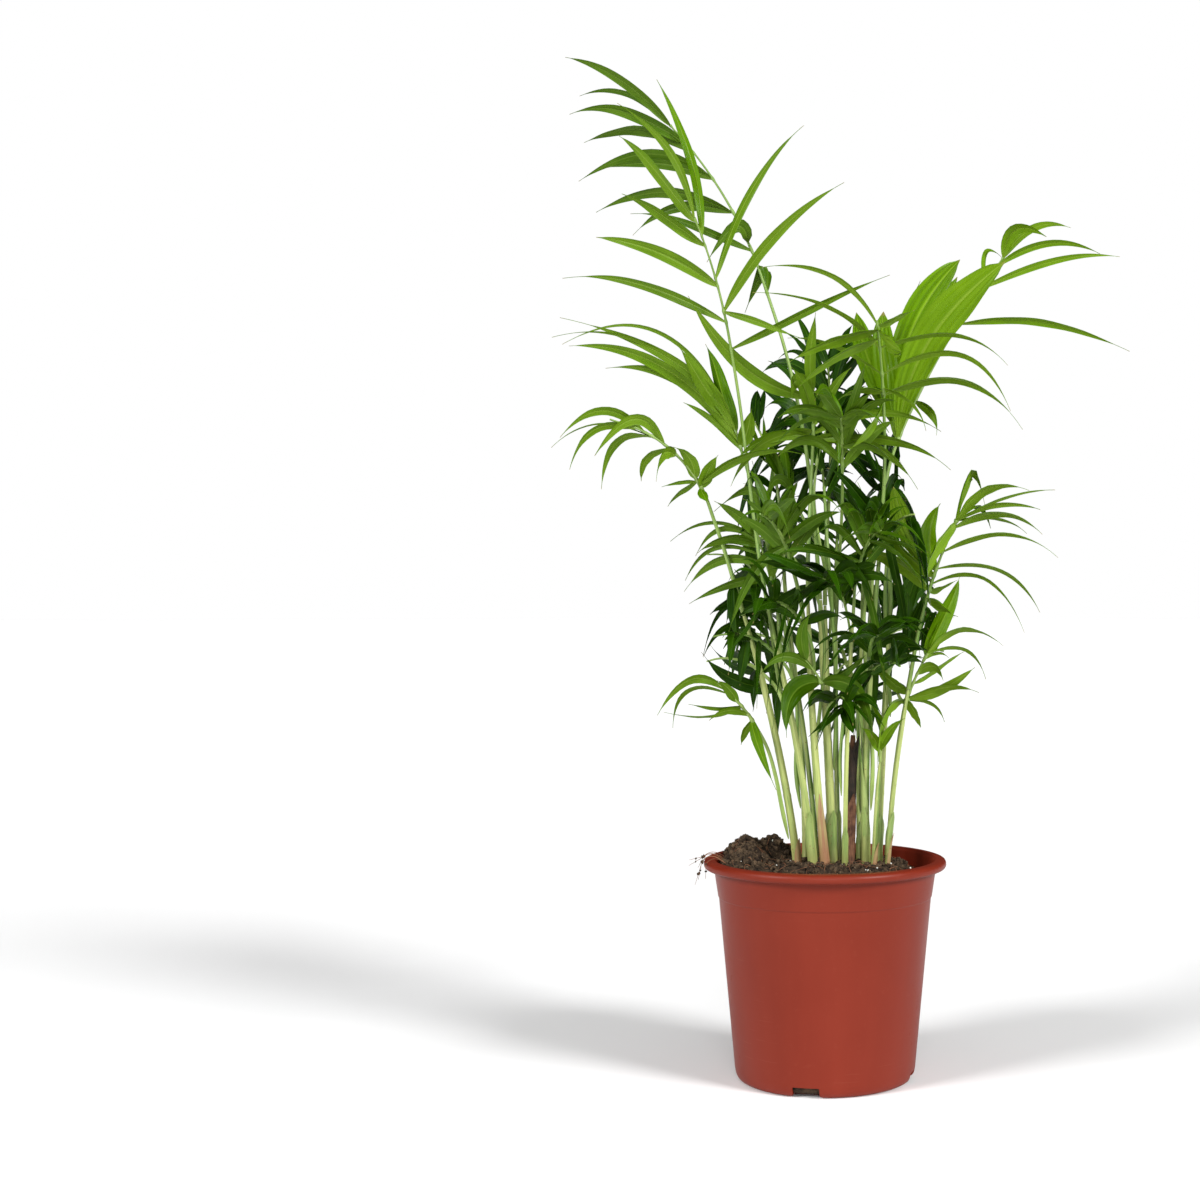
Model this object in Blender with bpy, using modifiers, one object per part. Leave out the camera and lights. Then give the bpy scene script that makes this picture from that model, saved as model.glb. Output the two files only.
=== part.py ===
"""A parlour palm in a round nursery pot, as closed solids. Metres, +Z up, the pot's underside at z = 0.

Several slim canes rise from one clump in the compost. Each frond is one solid: a petiole that leaves
a cane, a rachis, and thin blades whose outlines are cut in to the rib between them. The front is -Y.
"""

import math
import random

import bmesh
import bpy
from mathutils import Matrix, Quaternion, Vector
from mathutils.bvhtree import BVHTree

MM = 0.001
GAP = 0.35 * MM
SEED = 41

# The pot: a rolled rim, a band below it, a fine step and a tapering wall
POT_HEIGHT = 153 * MM
RIM_RADIUS = 85 * MM
RIM_DEPTH = 6.6 * MM
BAND_TOP_RADIUS = 77.7 * MM
BAND_FOOT = 127.3 * MM
BAND_FOOT_RADIUS = 75.0 * MM
STEP_IN = 0.6 * MM
BASE_RADIUS = 62.4 * MM
WALL = 1.6 * MM
FLOOR = 2.2 * MM
POT_STEPS = 44
NOTCHES = 4
NOTCH_TURN = -12
NOTCH_WIDTH = 18.5 * MM
NOTCH_HEIGHT = 7.3 * MM
NOTCH_REACH = (50 * MM, 70 * MM)

# The compost: flat where the canes stand, heaped at the left and low at the right
SOIL = 149.0 * MM
SOIL_MID = (12 * MM, 7 * MM)
SOIL_HALF = (40 * MM, 25 * MM)
SOIL_EDGE = 143 * MM
HEAPS = (
    (-57, 16, 20, 17, 19),
    (-36, 34, 17, 14, 14),
    (-58, -16, 11, 15, 20),
    (6, 52, 8, 24, 12),
    (-10, -48, 3, 30, 14),
    (64, 6, -6, 14, 26),
)

# Fronds seen in the picture are set out in mm on the upright plane through the pot's axis, as seen from
# this far off and at this height, and then stand at their own depth behind or before that plane.
EYE_FAR = 1290 * MM
EYE_HIGH = 334 * MM

# Canes: foot (x, y), bend (x, z), head (x, z, y), then widths at foot and head, all in mm
CANES = {
    "cane_1": ((-19.7, 2), (-35.8, 243), (-56.9, 323, -12), (5.8, 4.2)),
    "cane_2": ((-8.4, -5), (-22.5, 246), (-35.1, 306, -24), (5.6, 3.6)),
    "cane_3": ((-5.6, 9), (-16.2, 250), (-26.0, 306, 14), (3.8, 3.4)),
    "cane_4": ((0.0, -3), (-9.1, 260), (-11.9, 334, -16), (6.0, 4.0)),
    "cane_5": ((5.6, 4), (0.7, 257), (-3.5, 334, 4), (6.6, 5.4)),
    "cane_6": ((9.8, 11), (7.7, 243), (7.7, 327, 20), (3.6, 3.4)),
    "cane_7": ((14.0, -8), (16.2, 253), (19.7, 320, -26), (3.2, 3.0)),
    "cane_8": ((17.0, 0), (18.2, 200), (19.7, 239, -2), (6.4, 5.6)),
    "cane_9": ((23.9, 6), (23.9, 243), (26.0, 320, 12), (3.2, 3.0)),
    "cane_10": ((28.8, 0), (29.5, 236), (34.4, 320, -14), (5.2, 4.0)),
    "cane_11": ((34.0, -8), (36.8, 195), (38.6, 220, -13), (3.6, 3.2)),
    "cane_12": ((37.2, 4), (41.4, 243), (45.7, 320, 8), (5.0, 4.2)),
    "cane_13": ((43.6, -3), (52.0, 232), (58.3, 271, -8), (3.4, 4.0)),
    "cane_14": ((4.0, 24), (2.0, 250), (0.0, 330, 44), (5.0, 4.0)),
    "cane_15": ((26.0, 22), (28.0, 250), (32.0, 330, 42), (5.0, 4.0)),
    "cane_16": ((-14.0, 20), (-18.0, 250), (-26.0, 322, 38), (4.6, 3.8)),
}

# Fronds traced from the picture. cane and leave say where the petiole starts (1 is the cane's head).
# base is the first leaflet's place (x, z), depth the y there and at the rachis's tip, rachis its length
# and its headings, counter-clockwise from +X. Each leaflet is: place along the rachis, reach, heading,
# bow (how far its middle rises above the chord), and where needed breadth, the depth its tip moves,
# and lean (how far its middle moves along the chord).
# breadth is as it shows, and tilt turns the blades about their length so that they are wider from above.
DRAWN = {
    "frond_top_left": dict(
        cane="cane_5", leave=1, base=(-40.7, 549.7), depth=(12, 42), rachis=(137, 107, 133),
        breadth=6, tilt=36,
        leaflets=(
            (0, 21, 222, 14, 9, 12, -21), (0.25, 32, 199, 17, 8.5, -16, -11), (0.23, 89, 163, 6, 5),
            (0.45, 96, 180, 13, 6.5), (0.45, 72, 193, 12, 6.5, 14), (0.65, 94, 181, 17, 6.5),
            (0.65, 75, 174, 6, 7, 12), (0.82, 77, 175, 12, 7.5), (0.88, 84, 166, 12, 7, -10),
            (1, 67, 162, 12, 4), (1, 88, 147, 8, 5.5, -6),
        ),
    ),
    "frond_high_left": dict(
        cane="cane_2", leave=1, base=(-66.0, 510.3), depth=(-32, -66), rachis=(96, 99, 112),
        breadth=8.5, tilt=22,
        leaflets=(
            (0, 123, 25, 2, 5, -14), (0.2, 119, 165, 11, 7.5), (0.28, 124, 47, 10, 6.5),
            (0.28, 57, 341, 0, 5, -16), (0.47, 92, 158, 6, 8.5), (0.53, 124, 60, 9, 6.5),
            (0.78, 69, 148, 3, 7.5, -8), (0.97, 81, 132, 3, 9), (1, 97, 124, 11, 6.5, 8),
            (0.85, 115, 106, 7, 7),
        ),
    ),
    "frond_left": dict(
        cane="cane_1", leave=1, base=(-78.0, 390.2), depth=(-16, -44), rachis=(107, 104, 168),
        breadth=7, tilt=30,
        leaflets=(
            (0.28, 25, 189, 1, 3), (0.28, 27, 221, 2, 4, 12), (0.23, 26, 62, 1, 9, -8),
            (0.23, 11, 293, 0, 6.5, -12), (0.25, 77, 16, 11, 6.5, -24), (0.3, 27, 124, 5, 8.5, -10),
            (0.5, 23, 233, 8, 7.5, -14, -7), (0.57, 30, 231, 7, 5.5, 12),
            (0.6, 50, 189, 21, 6.5, -14, -6), (0.7, 51, 226, 15, 5.5, 12, -5),
            (0.82, 55, 212, 14, 5, -10), (0.7, 71, 186, 13, 2, 16), (0.75, 60, 183, 17, 5.5),
        ),
    ),
    "frond_young_left": dict(
        cane="cane_3", leave=1, base=(-59.0, 440.0), depth=(4, 8), rachis=(34, 105, 118),
        breadth=9.5, tilt=20,
        leaflets=(
            (0, 52, 141, 3, 5, 10), (0.07, 109, 150, 19, 9, 14), (0.2, 136, 151, 20, 9, 4),
            (0.38, 147, 147, 17, 7.5, -6, -9), (0.62, 139, 155, 24, 3, -16),
            (0.75, 127, 157, 36, 3, 22), (0.72, 63, 126, -1, 13.5, -12), (0.35, 66, 109, 1, 12.5, 10),
            (0.05, 28, 73, -1, 10.5, -10),
        ),
    ),
    "frond_right": dict(
        cane="cane_12", leave=1, base=(51.3, 446.4), depth=(14, 46), rachis=(148, 67, 53),
        breadth=7, tilt=34,
        leaflets=(
            (0, 146, 59, 16, 28, -8), (0, 134, 71, 15, 23, 14, 6), (0, 122, 70, 5, 17, 30),
            (0, 113, 82, 7, 14, 22), (0.03, 91, 110, -4, 17.5, 20), (0.03, 87, 98, -5, 19, 8),
            (0.2, 28, 302, 6, 6.5, -8), (0.62, 122, 351, 9, 5), (0.82, 100, 13, 8, 5, 10),
            (0.95, 73, 7, 12, 5, -6), (1, 52, 24, 11, 5.5, 8), (1, 34, 26, 14, 7.5, -12),
            (0.85, 22, 56, 12, 3.5, 16, 8),
        ),
    ),
    "frond_front_right": dict(
        cane="cane_10", leave=1, base=(41.4, 467.5), depth=(-28, -58), rachis=(63, 92, 97),
        breadth=5, tilt=46,
        leaflets=(
            (0.25, 43, 315, 7, 3), (0.17, 101, 346, 23, 6, -10), (0.2, 32, 190, 5, 5),
            (0.4, 94, 344, 29, 4, -14), (0.4, 71, 159, 7, 3.5, 8), (0.7, 91, 352, 17, 4, -8),
            (0.68, 98, 156, 13, 3.5, 0, -11), (0.9, 66, 200, 3, 7, -14), (0.8, 65, 211, 4, 6.5, -20),
            (0.95, 28, 22, 0, 5.5), (0.93, 24, 314, -2, 11, -22), (0.17, 48, 237, -5, 7, -18),
            (0.97, 90, 154, 16, 3.5),
        ),
    ),
    "frond_centre": dict(
        cane="cane_4", leave=1, base=(-8.5, 446.0), depth=(-8, -12), rachis=(34, 88, 92),
        breadth=7, tilt=26,
        leaflets=(
            (0.0, 99, 348, 12, 7, -14), (0.05, 82, 334, 14, 8, -24), (0.06, 55, 195, 8, 8, -16),
            (0.14, 90, 1, 14, 6, -6), (0.2, 70, 214, 12, 8.5, -20), (0.3, 49, 57, 3, 7, -6),
            (0.5, 38, 114, 3, 9.5, -12), (0.9, 113, 141, -13, 10, -8),
            (1.0, 62, 286, 10, 12.5, -22, -12), (1.0, 16, 205, 12, 11, -12),
            (1.0, 56, 88, 2, 7),
        ),
    ),
    "frond_right_low": dict(
        cane="cane_13", leave=1, base=(70.3, 330.5), depth=(-15, -36), rachis=(64, 75, 64),
        breadth=5, tilt=46,
        leaflets=(
            (0.07, 23, 325, 3, 8.5, -8), (0.17, 21, 20, -1, 6.5, 8), (0.25, 74, 332, 21, 3.5, 0, -6),
            (0.42, 79, 337, 17, 4), (0.35, 68, 115, -4, 12, -8), (0.4, 47, 86, 6, 10.5, 8),
            (0.62, 81, 357, 15, 3.5), (0.97, 53, 246, 6, 12.5, -18), (0.9, 63, 356, 13, 5.5, -6),
            (1, 50, 349, 7, 3, 12), (1, 59, 7, 7, 3), (1, 72, 17, 5, 2, 8), (1, 55, 22, 12, 6.5, -8),
            (0.93, 26, 34, 24, 8.5, 4, 17), (0.97, 25, 350, 14, 5.5, 14), (0.33, 85, 129, -6, 10, 10),
            (0.17, 65, 159, 11, 9, -6, 5),
        ),
    ),
    "frond_right_lowest": dict(
        cane="cane_12", leave=0.74, base=(56.5, 262.0), depth=(-2, -16), rachis=(38, 70, 62),
        breadth=7, tilt=30,
        leaflets=(
            (0.05, 22, 298, 1, 7), (0.05, 31, 330, 7, 3, 10), (0.07, 51, 5, 6, 5.5),
            (0.1, 52, 24, -4, 7, -12), (0.38, 42, 32, 0, 5, 8), (0.57, 19, 346, 8, 6.5, -8),
            (0.88, 17, 3, 4, 3, 12), (1, 45, 336, 13, 3.5, 10), (0.93, 55, 8, 15, 5.5, -4),
            (0.93, 61, 67, -2, 10.5), (0.85, 39, 52, 7, 5, 14, 8), (0.05, 52, 247, 10, 9, -8, -10),
            (0.2, 33, 143, -1, 8.5, -6),
        ),
    ),
    "frond_front": dict(
        cane="cane_7", leave=0.82, base=(-2.1, 275.7), depth=(-38, -46), rachis=(20, 120, 130),
        breadth=8, tilt=24,
        leaflets=(
            (0.03, 46, 238, 13, 15, -8, -6), (0.03, 53, 312, 15, 14, -8, -7),
            (0.57, 37, 185, 11, 7.5, -10), (0.03, 37, 32, -2, 7, 6), (0.97, 34, 83, 6, 8.5),
        ),
    ),
    "frond_low_left": dict(
        cane="cane_1", leave=0.10, base=(-51.3, 249.7), depth=(-14, -24), rachis=(36, 124, 142),
        breadth=7, tilt=30,
        leaflets=(
            (0, 19, 246, 1, 5, 8), (0, 52, 289, -2, 6.5, -8, -8), (0.12, 28, 188, 5, 5),
            (0.33, 55, 184, -5, 3, 8), (0.35, 37, 178, -2, 3.5, -8), (0.65, 47, 210, 18, 4, 10),
            (0.8, 51, 201, 15, 6.5, 0, -5), (0.45, 21, 134, 2, 6.5, -8),
        ),
    ),
    "frond_mid_left": dict(
        cane="cane_2", leave=0.90, base=(-36.0, 341.0), depth=(-18, -22), rachis=(41, 104, 110),
        breadth=8, tilt=30,
        leaflets=(
            (0.2, 60, 197, 5, 7, -8, -5), (0.45, 61, 198, 12, 6.5), (0.6, 58, 197, 16, 3.5, 10),
            (0.78, 45, 186, 8, 7, -10), (0.85, 46, 192, 15, 4, 12), (0.9, 62, 181, 13, 3),
            (0.97, 39, 141, 2, 7.5, -10), (0.97, 35, 151, 26, 7.5, 8), (0.97, 34, 9, 13, 7.5, -8),
            (0.17, 43, 43, 20, 10, -16, 9),
        ),
    ),
    "frond_mid_low_left": dict(
        cane="cane_3", leave=0.72, base=(-32.0, 273.0), depth=(6, 2), rachis=(55, 100, 97),
        breadth=8, tilt=30,
        leaflets=(
            (0, 60, 156, -9, 10.5, -10), (0.28, 48, 163, -9, 7.5, 6), (0.2, 45, 130, -6, 6.5, 8),
            (0.47, 28, 130, -5, 6.5), (0.8, 51, 205, 12, 5.5, -6), (0.97, 56, 215, 20, 4, 8, -7),
            (1, 41, 185, 8, 10, -12), (0.95, 48, 25, 5, 8.5, -10),
        ),
    ),
    "frond_new": dict(
        cane="cane_11", leave=1, base=(38.8, 226.0), depth=(-13, -14), rachis=(10, 88, 88),
        breadth=7, tilt=20,
        leaflets=((0.1, 22, 128, 3, 7), (0.3, 28, 52, 3, 7, -6), (0.7, 42, 66, 4, 7), (1.0, 32, 108, 2, 7)),
    ),
}

# Fronds that the picture hides or shows only as mass: base in mm, azimuth from +X, elevation at the base
# and the tip, rachis length, pairs of leaflets, their length, and breadth
RULED = {
    "frond_back_high": ("cane_14", 1, (4, 46, 446), 92, 74, 34, 84, 5, 80, 8.5),
    "frond_back_left": ("cane_16", 1, (-34, 46, 410), 112, 66, 30, 80, 5, 68, 8.5),
    "frond_back_right": ("cane_15", 1, (38, 46, 398), 76, 64, 20, 78, 5, 66, 8.5),
    "frond_back_mid": ("cane_14", 0.86, (8, 58, 356), 88, 52, -4, 84, 5, 78, 8.5),
    "frond_back_low_left": ("cane_16", 0.80, (-34, 40, 312), 128, 42, -6, 60, 5, 62, 8),
    "frond_back_low_right": ("cane_15", 0.84, (40, 46, 318), 62, 40, -4, 60, 5, 62, 8),
    "frond_back_low": ("cane_15", 0.62, (16, 64, 286), 98, 34, -14, 70, 5, 66, 8),
    "frond_fill_left": ("cane_6", 1, (-22, 12, 404), 158, 66, 38, 40, 4, 58, 8),
    "frond_fill_right": ("cane_9", 1, (34, -2, 380), 24, 66, 36, 36, 4, 56, 8),
    "frond_fore_left": ("cane_4", 0.82, (-24, -40, 362), 246, 58, 6, 56, 5, 62, 8),
    "frond_fore_right": ("cane_7", 1, (22, -46, 352), 288, 58, 4, 56, 5, 60, 8),
    "frond_fore_low": ("cane_10", 0.80, (30, -40, 296), 276, 46, -8, 46, 4, 54, 8),
    "frond_fore_high": ("cane_6", 0.90, (12, -28, 424), 268, 66, 6, 56, 4, 62, 8),
}

# The dense middle of the crown as it shows, in mm: height, and how far it goes to the left and right
CROWN = ((226, -28, 34), (250, -48, 50), (285, -72, 70), (320, -72, 80), (362, -66, 76), (398, -60, 58),
         (430, -56, 54), (470, -52, 52), (510, -40, 44), (540, -20, 20))
CROWN_SHARES = (1, 0.86, 0.72, 0.6)

LEAF_THICK = 1.2 * MM
LEAF_SHAPE = ((0.0, 0.08), (0.32, 0.96), (0.70, 0.72), (1.0, 0.0))
DEPTH_TRIES = (0, -7, 7, -14, 14, -22, 22, -30, 30)


def seat(x, z, y):
    """The place in metres that shows at (x, z) of the drawn plane and stands at depth y, all in mm."""
    far = (EYE_FAR + y * MM) / EYE_FAR
    return Vector((x * MM * far, y * MM, EYE_HIGH + (z * MM - EYE_HIGH) * far))


def bezier(points, t):
    """A point on the curve of any degree through these control points."""
    while len(points) > 1:
        points = [a.lerp(b, t) for a, b in zip(points, points[1:])]
    return points[0]


def side_of(direction, hint):
    """A unit vector square to the direction, as near to the hint as it can be."""
    flat = hint - direction * hint.dot(direction)
    if flat.length < 1e-6:
        flat = direction.orthogonal()
    return flat.normalized()


def cane_axis(spec):
    (foot_x, foot_y), (bend_x, bend_z), (head_x, head_z, head_y), _ = spec
    foot = Vector((foot_x * MM, foot_y * MM, SOIL + GAP))
    head = seat(head_x, head_z, head_y)
    middle = seat(bend_x, bend_z, (foot_y + head_y) / 2)
    share = (middle.z - foot.z) / (head.z - foot.z)
    pull = (middle - foot * (1 - share) ** 2 - head * share**2) / (2 * share * (1 - share))
    return [foot, pull, head]


def sweep(path, radii, sides, turn=0.0):
    """Vertices and faces of a closed tube along a path."""
    rings = []
    side = Vector((1, 0, 0))
    count = len(path)
    for i, (place, radius) in enumerate(zip(path, radii)):
        ahead = (path[min(i + 1, count - 1)] - path[max(i - 1, 0)]).normalized()
        side = side_of(ahead, side)
        other = ahead.cross(side)
        angles = [turn + 2 * math.pi * k / sides for k in range(sides)]
        rings.append([place + (side * math.cos(a) + other * math.sin(a)) * radius for a in angles])
    vertices = [v for ring in rings for v in ring]
    faces = [tuple(reversed(range(sides)))]
    for i in range(count - 1):
        for k in range(sides):
            here, after = i * sides + k, i * sides + (k + 1) % sides
            faces.append((here, after, after + sides, here + sides))
    faces.append(tuple((count - 1) * sides + k for k in range(sides)))
    return vertices, faces


def cane_shape(path, radii):
    """A six-sided cane whose foot is cut level with the ground."""
    vertices, faces = sweep(path, radii, 6)
    for vertex in vertices[:6]:
        vertex.z = path[0].z
    return vertices, faces


def blade(leaf, grow=0.0):
    """Vertices and faces of a thin keeled blade, broadest below its middle and pointed at the tip."""
    route = [leaf["root"], leaf["pull"], leaf["tip"]]
    vertices = []
    for t, share in LEAF_SHAPE:
        place = bezier(route, t)
        ahead = (bezier(route, min(t + 0.02, 1)) - bezier(route, max(t - 0.02, 0))).normalized()
        across = side_of(ahead, leaf["across"])
        up = ahead.cross(across)
        if share == 0:
            vertices.append(place)
            continue
        half = leaf["breadth"] * share / 2 + grow
        rise = leaf["thick"] * 0.4 + grow
        vertices += [place - across * half + up * rise, place + across * half + up * rise]
        vertices.append(place - up * (leaf["thick"] * 0.6 + 2 * grow))
    rings = len(LEAF_SHAPE) - 1
    faces = [(2, 1, 0)]
    for i in range(rings - 1):
        for k in range(3):
            here, after = i * 3 + k, i * 3 + (k + 1) % 3
            faces.append((here, after, after + 3, here + 3))
    last = (rings - 1) * 3
    for k in range(3):
        faces.append((last + k, last + (k + 1) % 3, rings * 3))
    return vertices, faces


class Placed:
    """Surfaces that stand already, each with its bounds, asked whether a new one would touch them."""

    def __init__(self):
        self.items = []

    @staticmethod
    def bounds(vertices):
        low = [min(v[i] for v in vertices) for i in range(3)]
        high = [max(v[i] for v in vertices) for i in range(3)]
        return low, high

    def add(self, owner, shape):
        tree = BVHTree.FromPolygons(shape[0], shape[1])
        self.items.append((owner, *self.bounds(shape[0]), tree))

    def touches(self, owner, shape):
        low, high = self.bounds(shape[0])
        tree = None
        for other, floor, roof, standing in self.items:
            if other == owner or any(low[i] > roof[i] or high[i] < floor[i] for i in range(3)):
                continue
            tree = tree or BVHTree.FromPolygons(shape[0], shape[1])
            if tree.overlap(standing):
                return True
        return False


def drawn_rachis(spec):
    length, start, end = spec["rachis"]
    steps = 5
    x, z = spec["base"]
    near, far = spec["depth"]
    places = [seat(x, z, near)]
    for i in range(steps):
        heading = math.radians(start + (end - start) * (i + 0.5) / steps)
        x += math.cos(heading) * length / steps
        z += math.sin(heading) * length / steps
        places.append(seat(x, z, near + (far - near) * (i + 1) / steps))
    return places


def ruled_rachis(base, azimuth, start, end, length):
    steps = 5
    place = Vector(base) * MM
    places = [place]
    for i in range(steps):
        rise = math.radians(start + (end - start) * (i + 0.5) / steps)
        turn = math.radians(azimuth)
        way = Vector((math.cos(turn) * math.cos(rise), math.sin(turn) * math.cos(rise), math.sin(rise)))
        place = place + way * (length * MM / steps)
        places.append(place)
    return places


def along(places, share):
    """The place and direction at a share of a run of places."""
    spot = min(max(share, 0.0), 1.0) * (len(places) - 1)
    i = min(int(spot), len(places) - 2)
    return places[i].lerp(places[i + 1], spot - i), (places[i + 1] - places[i]).normalized()


def petiole(cane, leave, rachis, aside, bulge, close):
    """The way from a cane to the first leaflet. It starts at the cane's head, or beside the cane."""
    axis, widths = cane["axis"], cane["widths"]
    share = min(leave, 1.0)
    place = bezier(axis, share)
    ahead = (bezier(axis, min(share + 0.01, 1)) - bezier(axis, share - 0.01)).normalized()
    radius = (widths[0] + (widths[1] - widths[0]) * share) * MM / 2
    width = min(radius * 0.8, 1.6 * MM)
    if leave >= 1:
        start = place + ahead * GAP
    else:
        out = side_of(ahead, rachis[0] - place)
        out = Quaternion(ahead, math.radians(aside)) @ out
        start = place + out * ((radius + width) * close + GAP)
        ahead = (ahead + out * 0.12).normalized()
    reach = (rachis[0] - start).length
    arrive = (rachis[1] - rachis[0]).normalized()
    push = Vector((0, bulge * MM, 0))
    leaving = start + ahead * reach * 0.38 + push
    arriving = rachis[0] - arrive * reach * 0.36 + push
    route = [start, leaving, arriving, rachis[0]]
    steps = max(3, min(6, round(reach / (24 * MM))))
    return [bezier(route, i / steps) for i in range(steps)], width


def axis_shape(path, width, grow=0.0):
    count = len(path)
    radii = [max(width * (1 - 0.62 * i / (count - 1)), 0.55 * MM) + grow for i in range(count)]
    return sweep(path, radii, 3, math.pi / 2)


def drawn_leaf(spec, rachis, row, spread, dice):
    at, reach, heading, bow = row[:4]
    breadth = row[4] if len(row) > 4 else spec["breadth"]
    shift = dice.uniform(0.22, 0.46) * reach * spread
    if len(row) > 5 and row[5]:
        shift = abs(shift) * 0.4 * (1 if row[5] > 0 else -1) + row[5]
    lean = row[6] if len(row) > 6 else 0
    root, forward = along(rachis, at)
    depth = root.y / MM
    x, z = drawn_spot(root)
    turn = math.radians(heading)
    tip = (x + math.cos(turn) * reach, z + math.sin(turn) * reach)
    rise = (-math.sin(turn), math.cos(turn))
    if rise[1] < 0:
        rise = (-rise[0], -rise[1])
    ahead = (math.cos(turn) * lean * 2, math.sin(turn) * lean * 2)
    middle = [(a + b) / 2 + up * bow * 2 + on for a, b, up, on in zip((x, z), tip, rise, ahead)]
    leftward = 90 < heading % 360 < 270
    tilt = (spec["tilt"] + dice.uniform(-10, 10)) * (-1 if leftward else 1)
    if breadth > 12:
        tilt *= 0.35
    breadth = breadth / math.cos(math.radians(tilt))

    def place(extra, share):
        deep = depth + shift + extra
        end = seat(tip[0], tip[1], deep)
        pull = seat(middle[0], middle[1], (depth + deep) / 2)
        chord = (end - root).normalized()
        flat = Vector((-chord.z, 0, chord.x))
        flat = flat if flat.dot(forward) > 0 else -flat
        across = Quaternion(chord, math.radians(tilt)) @ side_of(chord, forward + flat)
        thick = max(LEAF_THICK, reach * MM * 0.012)
        return dict(root=root, pull=pull, tip=end, across=across, breadth=breadth * MM, thick=thick)

    return place


def drawn_spot(place):
    """Where a place in metres shows on the drawn plane, in mm. This is the reverse of seat."""
    far = (EYE_FAR + place.y) / EYE_FAR
    return place.x / far / MM, (EYE_HIGH + (place.z - EYE_HIGH) / far) / MM


def in_crown(place):
    x, z = drawn_spot(place)
    for (low, left, right), (high, next_left, next_right) in zip(CROWN, CROWN[1:]):
        if low <= z <= high:
            share = (z - low) / (high - low)
            return left + (next_left - left) * share <= x <= right + (next_right - right) * share
    return False


def ruled_leaf(rachis, at, side, length, breadth, dice):
    root, forward = along(rachis, at)
    out = side_of(forward, forward.cross(Vector((0, 0, 1))) * side)
    angle = math.radians(64 - 34 * at + dice.uniform(-17, 17))
    sag = length * dice.choice((0.08, 0.16, 0.26, 0.40, 0.55)) * dice.uniform(0.8, 1.2)
    climb = dice.uniform(2, 30)
    tilt = dice.uniform(-38, 38)

    def place(extra, share):
        lift = math.radians(climb + extra * 1.4)
        way = forward * math.cos(angle) + out * math.sin(angle)
        way = (way + Vector((0, 0, 1)) * math.sin(lift)).normalized() * length * share * MM
        fall = Vector((0, 0, -sag * share * MM))
        tip, pull = root + way + fall, root + way * 0.5 - fall * 0.5
        if not in_crown(tip):
            return None
        chord = (tip - root).normalized()
        across = Quaternion(chord, math.radians(tilt)) @ side_of(chord, forward)
        thick = max(LEAF_THICK, length * MM * 0.012)
        return dict(root=root, pull=pull, tip=tip, across=across, breadth=breadth * MM, thick=thick)

    return place


def leaf_rules(spec, rachis, dice):
    if isinstance(spec, dict):
        rows = enumerate(spec["leaflets"])
        return [drawn_leaf(spec, rachis, row, 1 if k % 2 else -1, dice) for k, row in rows]
    pairs, length, breadth = spec[7:]
    rules = []
    for i in range(pairs):
        at = 0.04 + 0.9 * i / (pairs - 1)
        size = length * (0.72 + 0.28 * math.sin(math.pi * min(at + 0.18, 1)))
        for side in (-1, 1):
            rules.append(ruled_leaf(rachis, at + 0.02 * side, side, size, breadth, dice))
    rules.append(ruled_leaf(rachis, 1.0, 0.3, length * 0.7, breadth, dice))
    return rules


def place_canes(placed):
    canes = {}
    for name, spec in CANES.items():
        axis = cane_axis(spec)
        steps = 3
        path = [bezier(axis, i / steps) for i in range(steps + 1)]
        foot, head = (w * MM / 2 for w in spec[3])
        radii = [foot + (head - foot) * i / steps for i in range(steps + 1)]
        radii[0] = foot * 1.14
        canes[name] = dict(axis=axis, path=path, radii=radii, widths=spec[3])
        placed.add(name, cane_shape(path, radii))
    return canes


def place_axes(placed, canes, specs):
    """Each frond's petiole and rachis, led round what stands already."""
    fronds = {}
    for name, spec in specs.items():
        if isinstance(spec, dict):
            rachis = drawn_rachis(spec)
            cane, leave = spec["cane"], spec["leave"]
        else:
            rachis = ruled_rachis(spec[2], *spec[3:7])
            cane, leave = spec[:2]
        turns = (0,) if leave >= 1 else (0, 35, -35, 70, -70)
        shares = (0.72, 0.84, 0.96)
        tries = [(aside, bulge, close) for bulge in DEPTH_TRIES for aside in turns for close in shares]
        for aside, bulge, close in tries:
            path, width = petiole(canes[cane], leave, rachis, aside, bulge, close)
            path = path + rachis
            if not placed.touches(name, axis_shape(path, width, GAP * 0.9)):
                placed.add(name, axis_shape(path, width))
                fronds[name] = dict(path=path, width=width, rachis=rachis, leaves=[], skipped=0)
                break
        else:
            print("no clear way for", name)
    return fronds


def place_leaves(placed, fronds, queues):
    """Each leaflet where it clears the ones before it, a little nearer or farther if need be."""
    for name, rules in queues.items():
        frond = fronds[name]
        for rule in rules:
            tries = [(extra, share) for share in CROWN_SHARES for extra in DEPTH_TRIES]
            for extra, share in tries:
                leaf = rule(extra, share)
                if leaf and not placed.touches(name, blade(leaf, GAP)):
                    placed.add(name, blade(leaf))
                    frond["leaves"].append(leaf)
                    break
            else:
                frond["skipped"] += 1


def plan():
    """Every cane, frond axis and leaflet, each set where it clears the ones before it."""
    placed = Placed()
    canes = place_canes(placed)
    specs = {**DRAWN, **RULED}
    fronds = place_axes(placed, canes, specs)
    queues = {}
    for name, frond in fronds.items():
        dice = random.Random(f"{SEED} {name}")
        queues[name] = leaf_rules(specs[name], frond["rachis"], dice)
    place_leaves(placed, fronds, queues)
    return canes, fronds, placed


def material(name, colour, roughness):
    made = bpy.data.materials.new(name)
    made.use_nodes = True
    shader = made.node_tree.nodes["Principled BSDF"]
    shader.inputs["Base Color"].default_value = (*colour, 1)
    shader.inputs["Roughness"].default_value = roughness
    shader.inputs["Metallic"].default_value = 0
    return made


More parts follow.
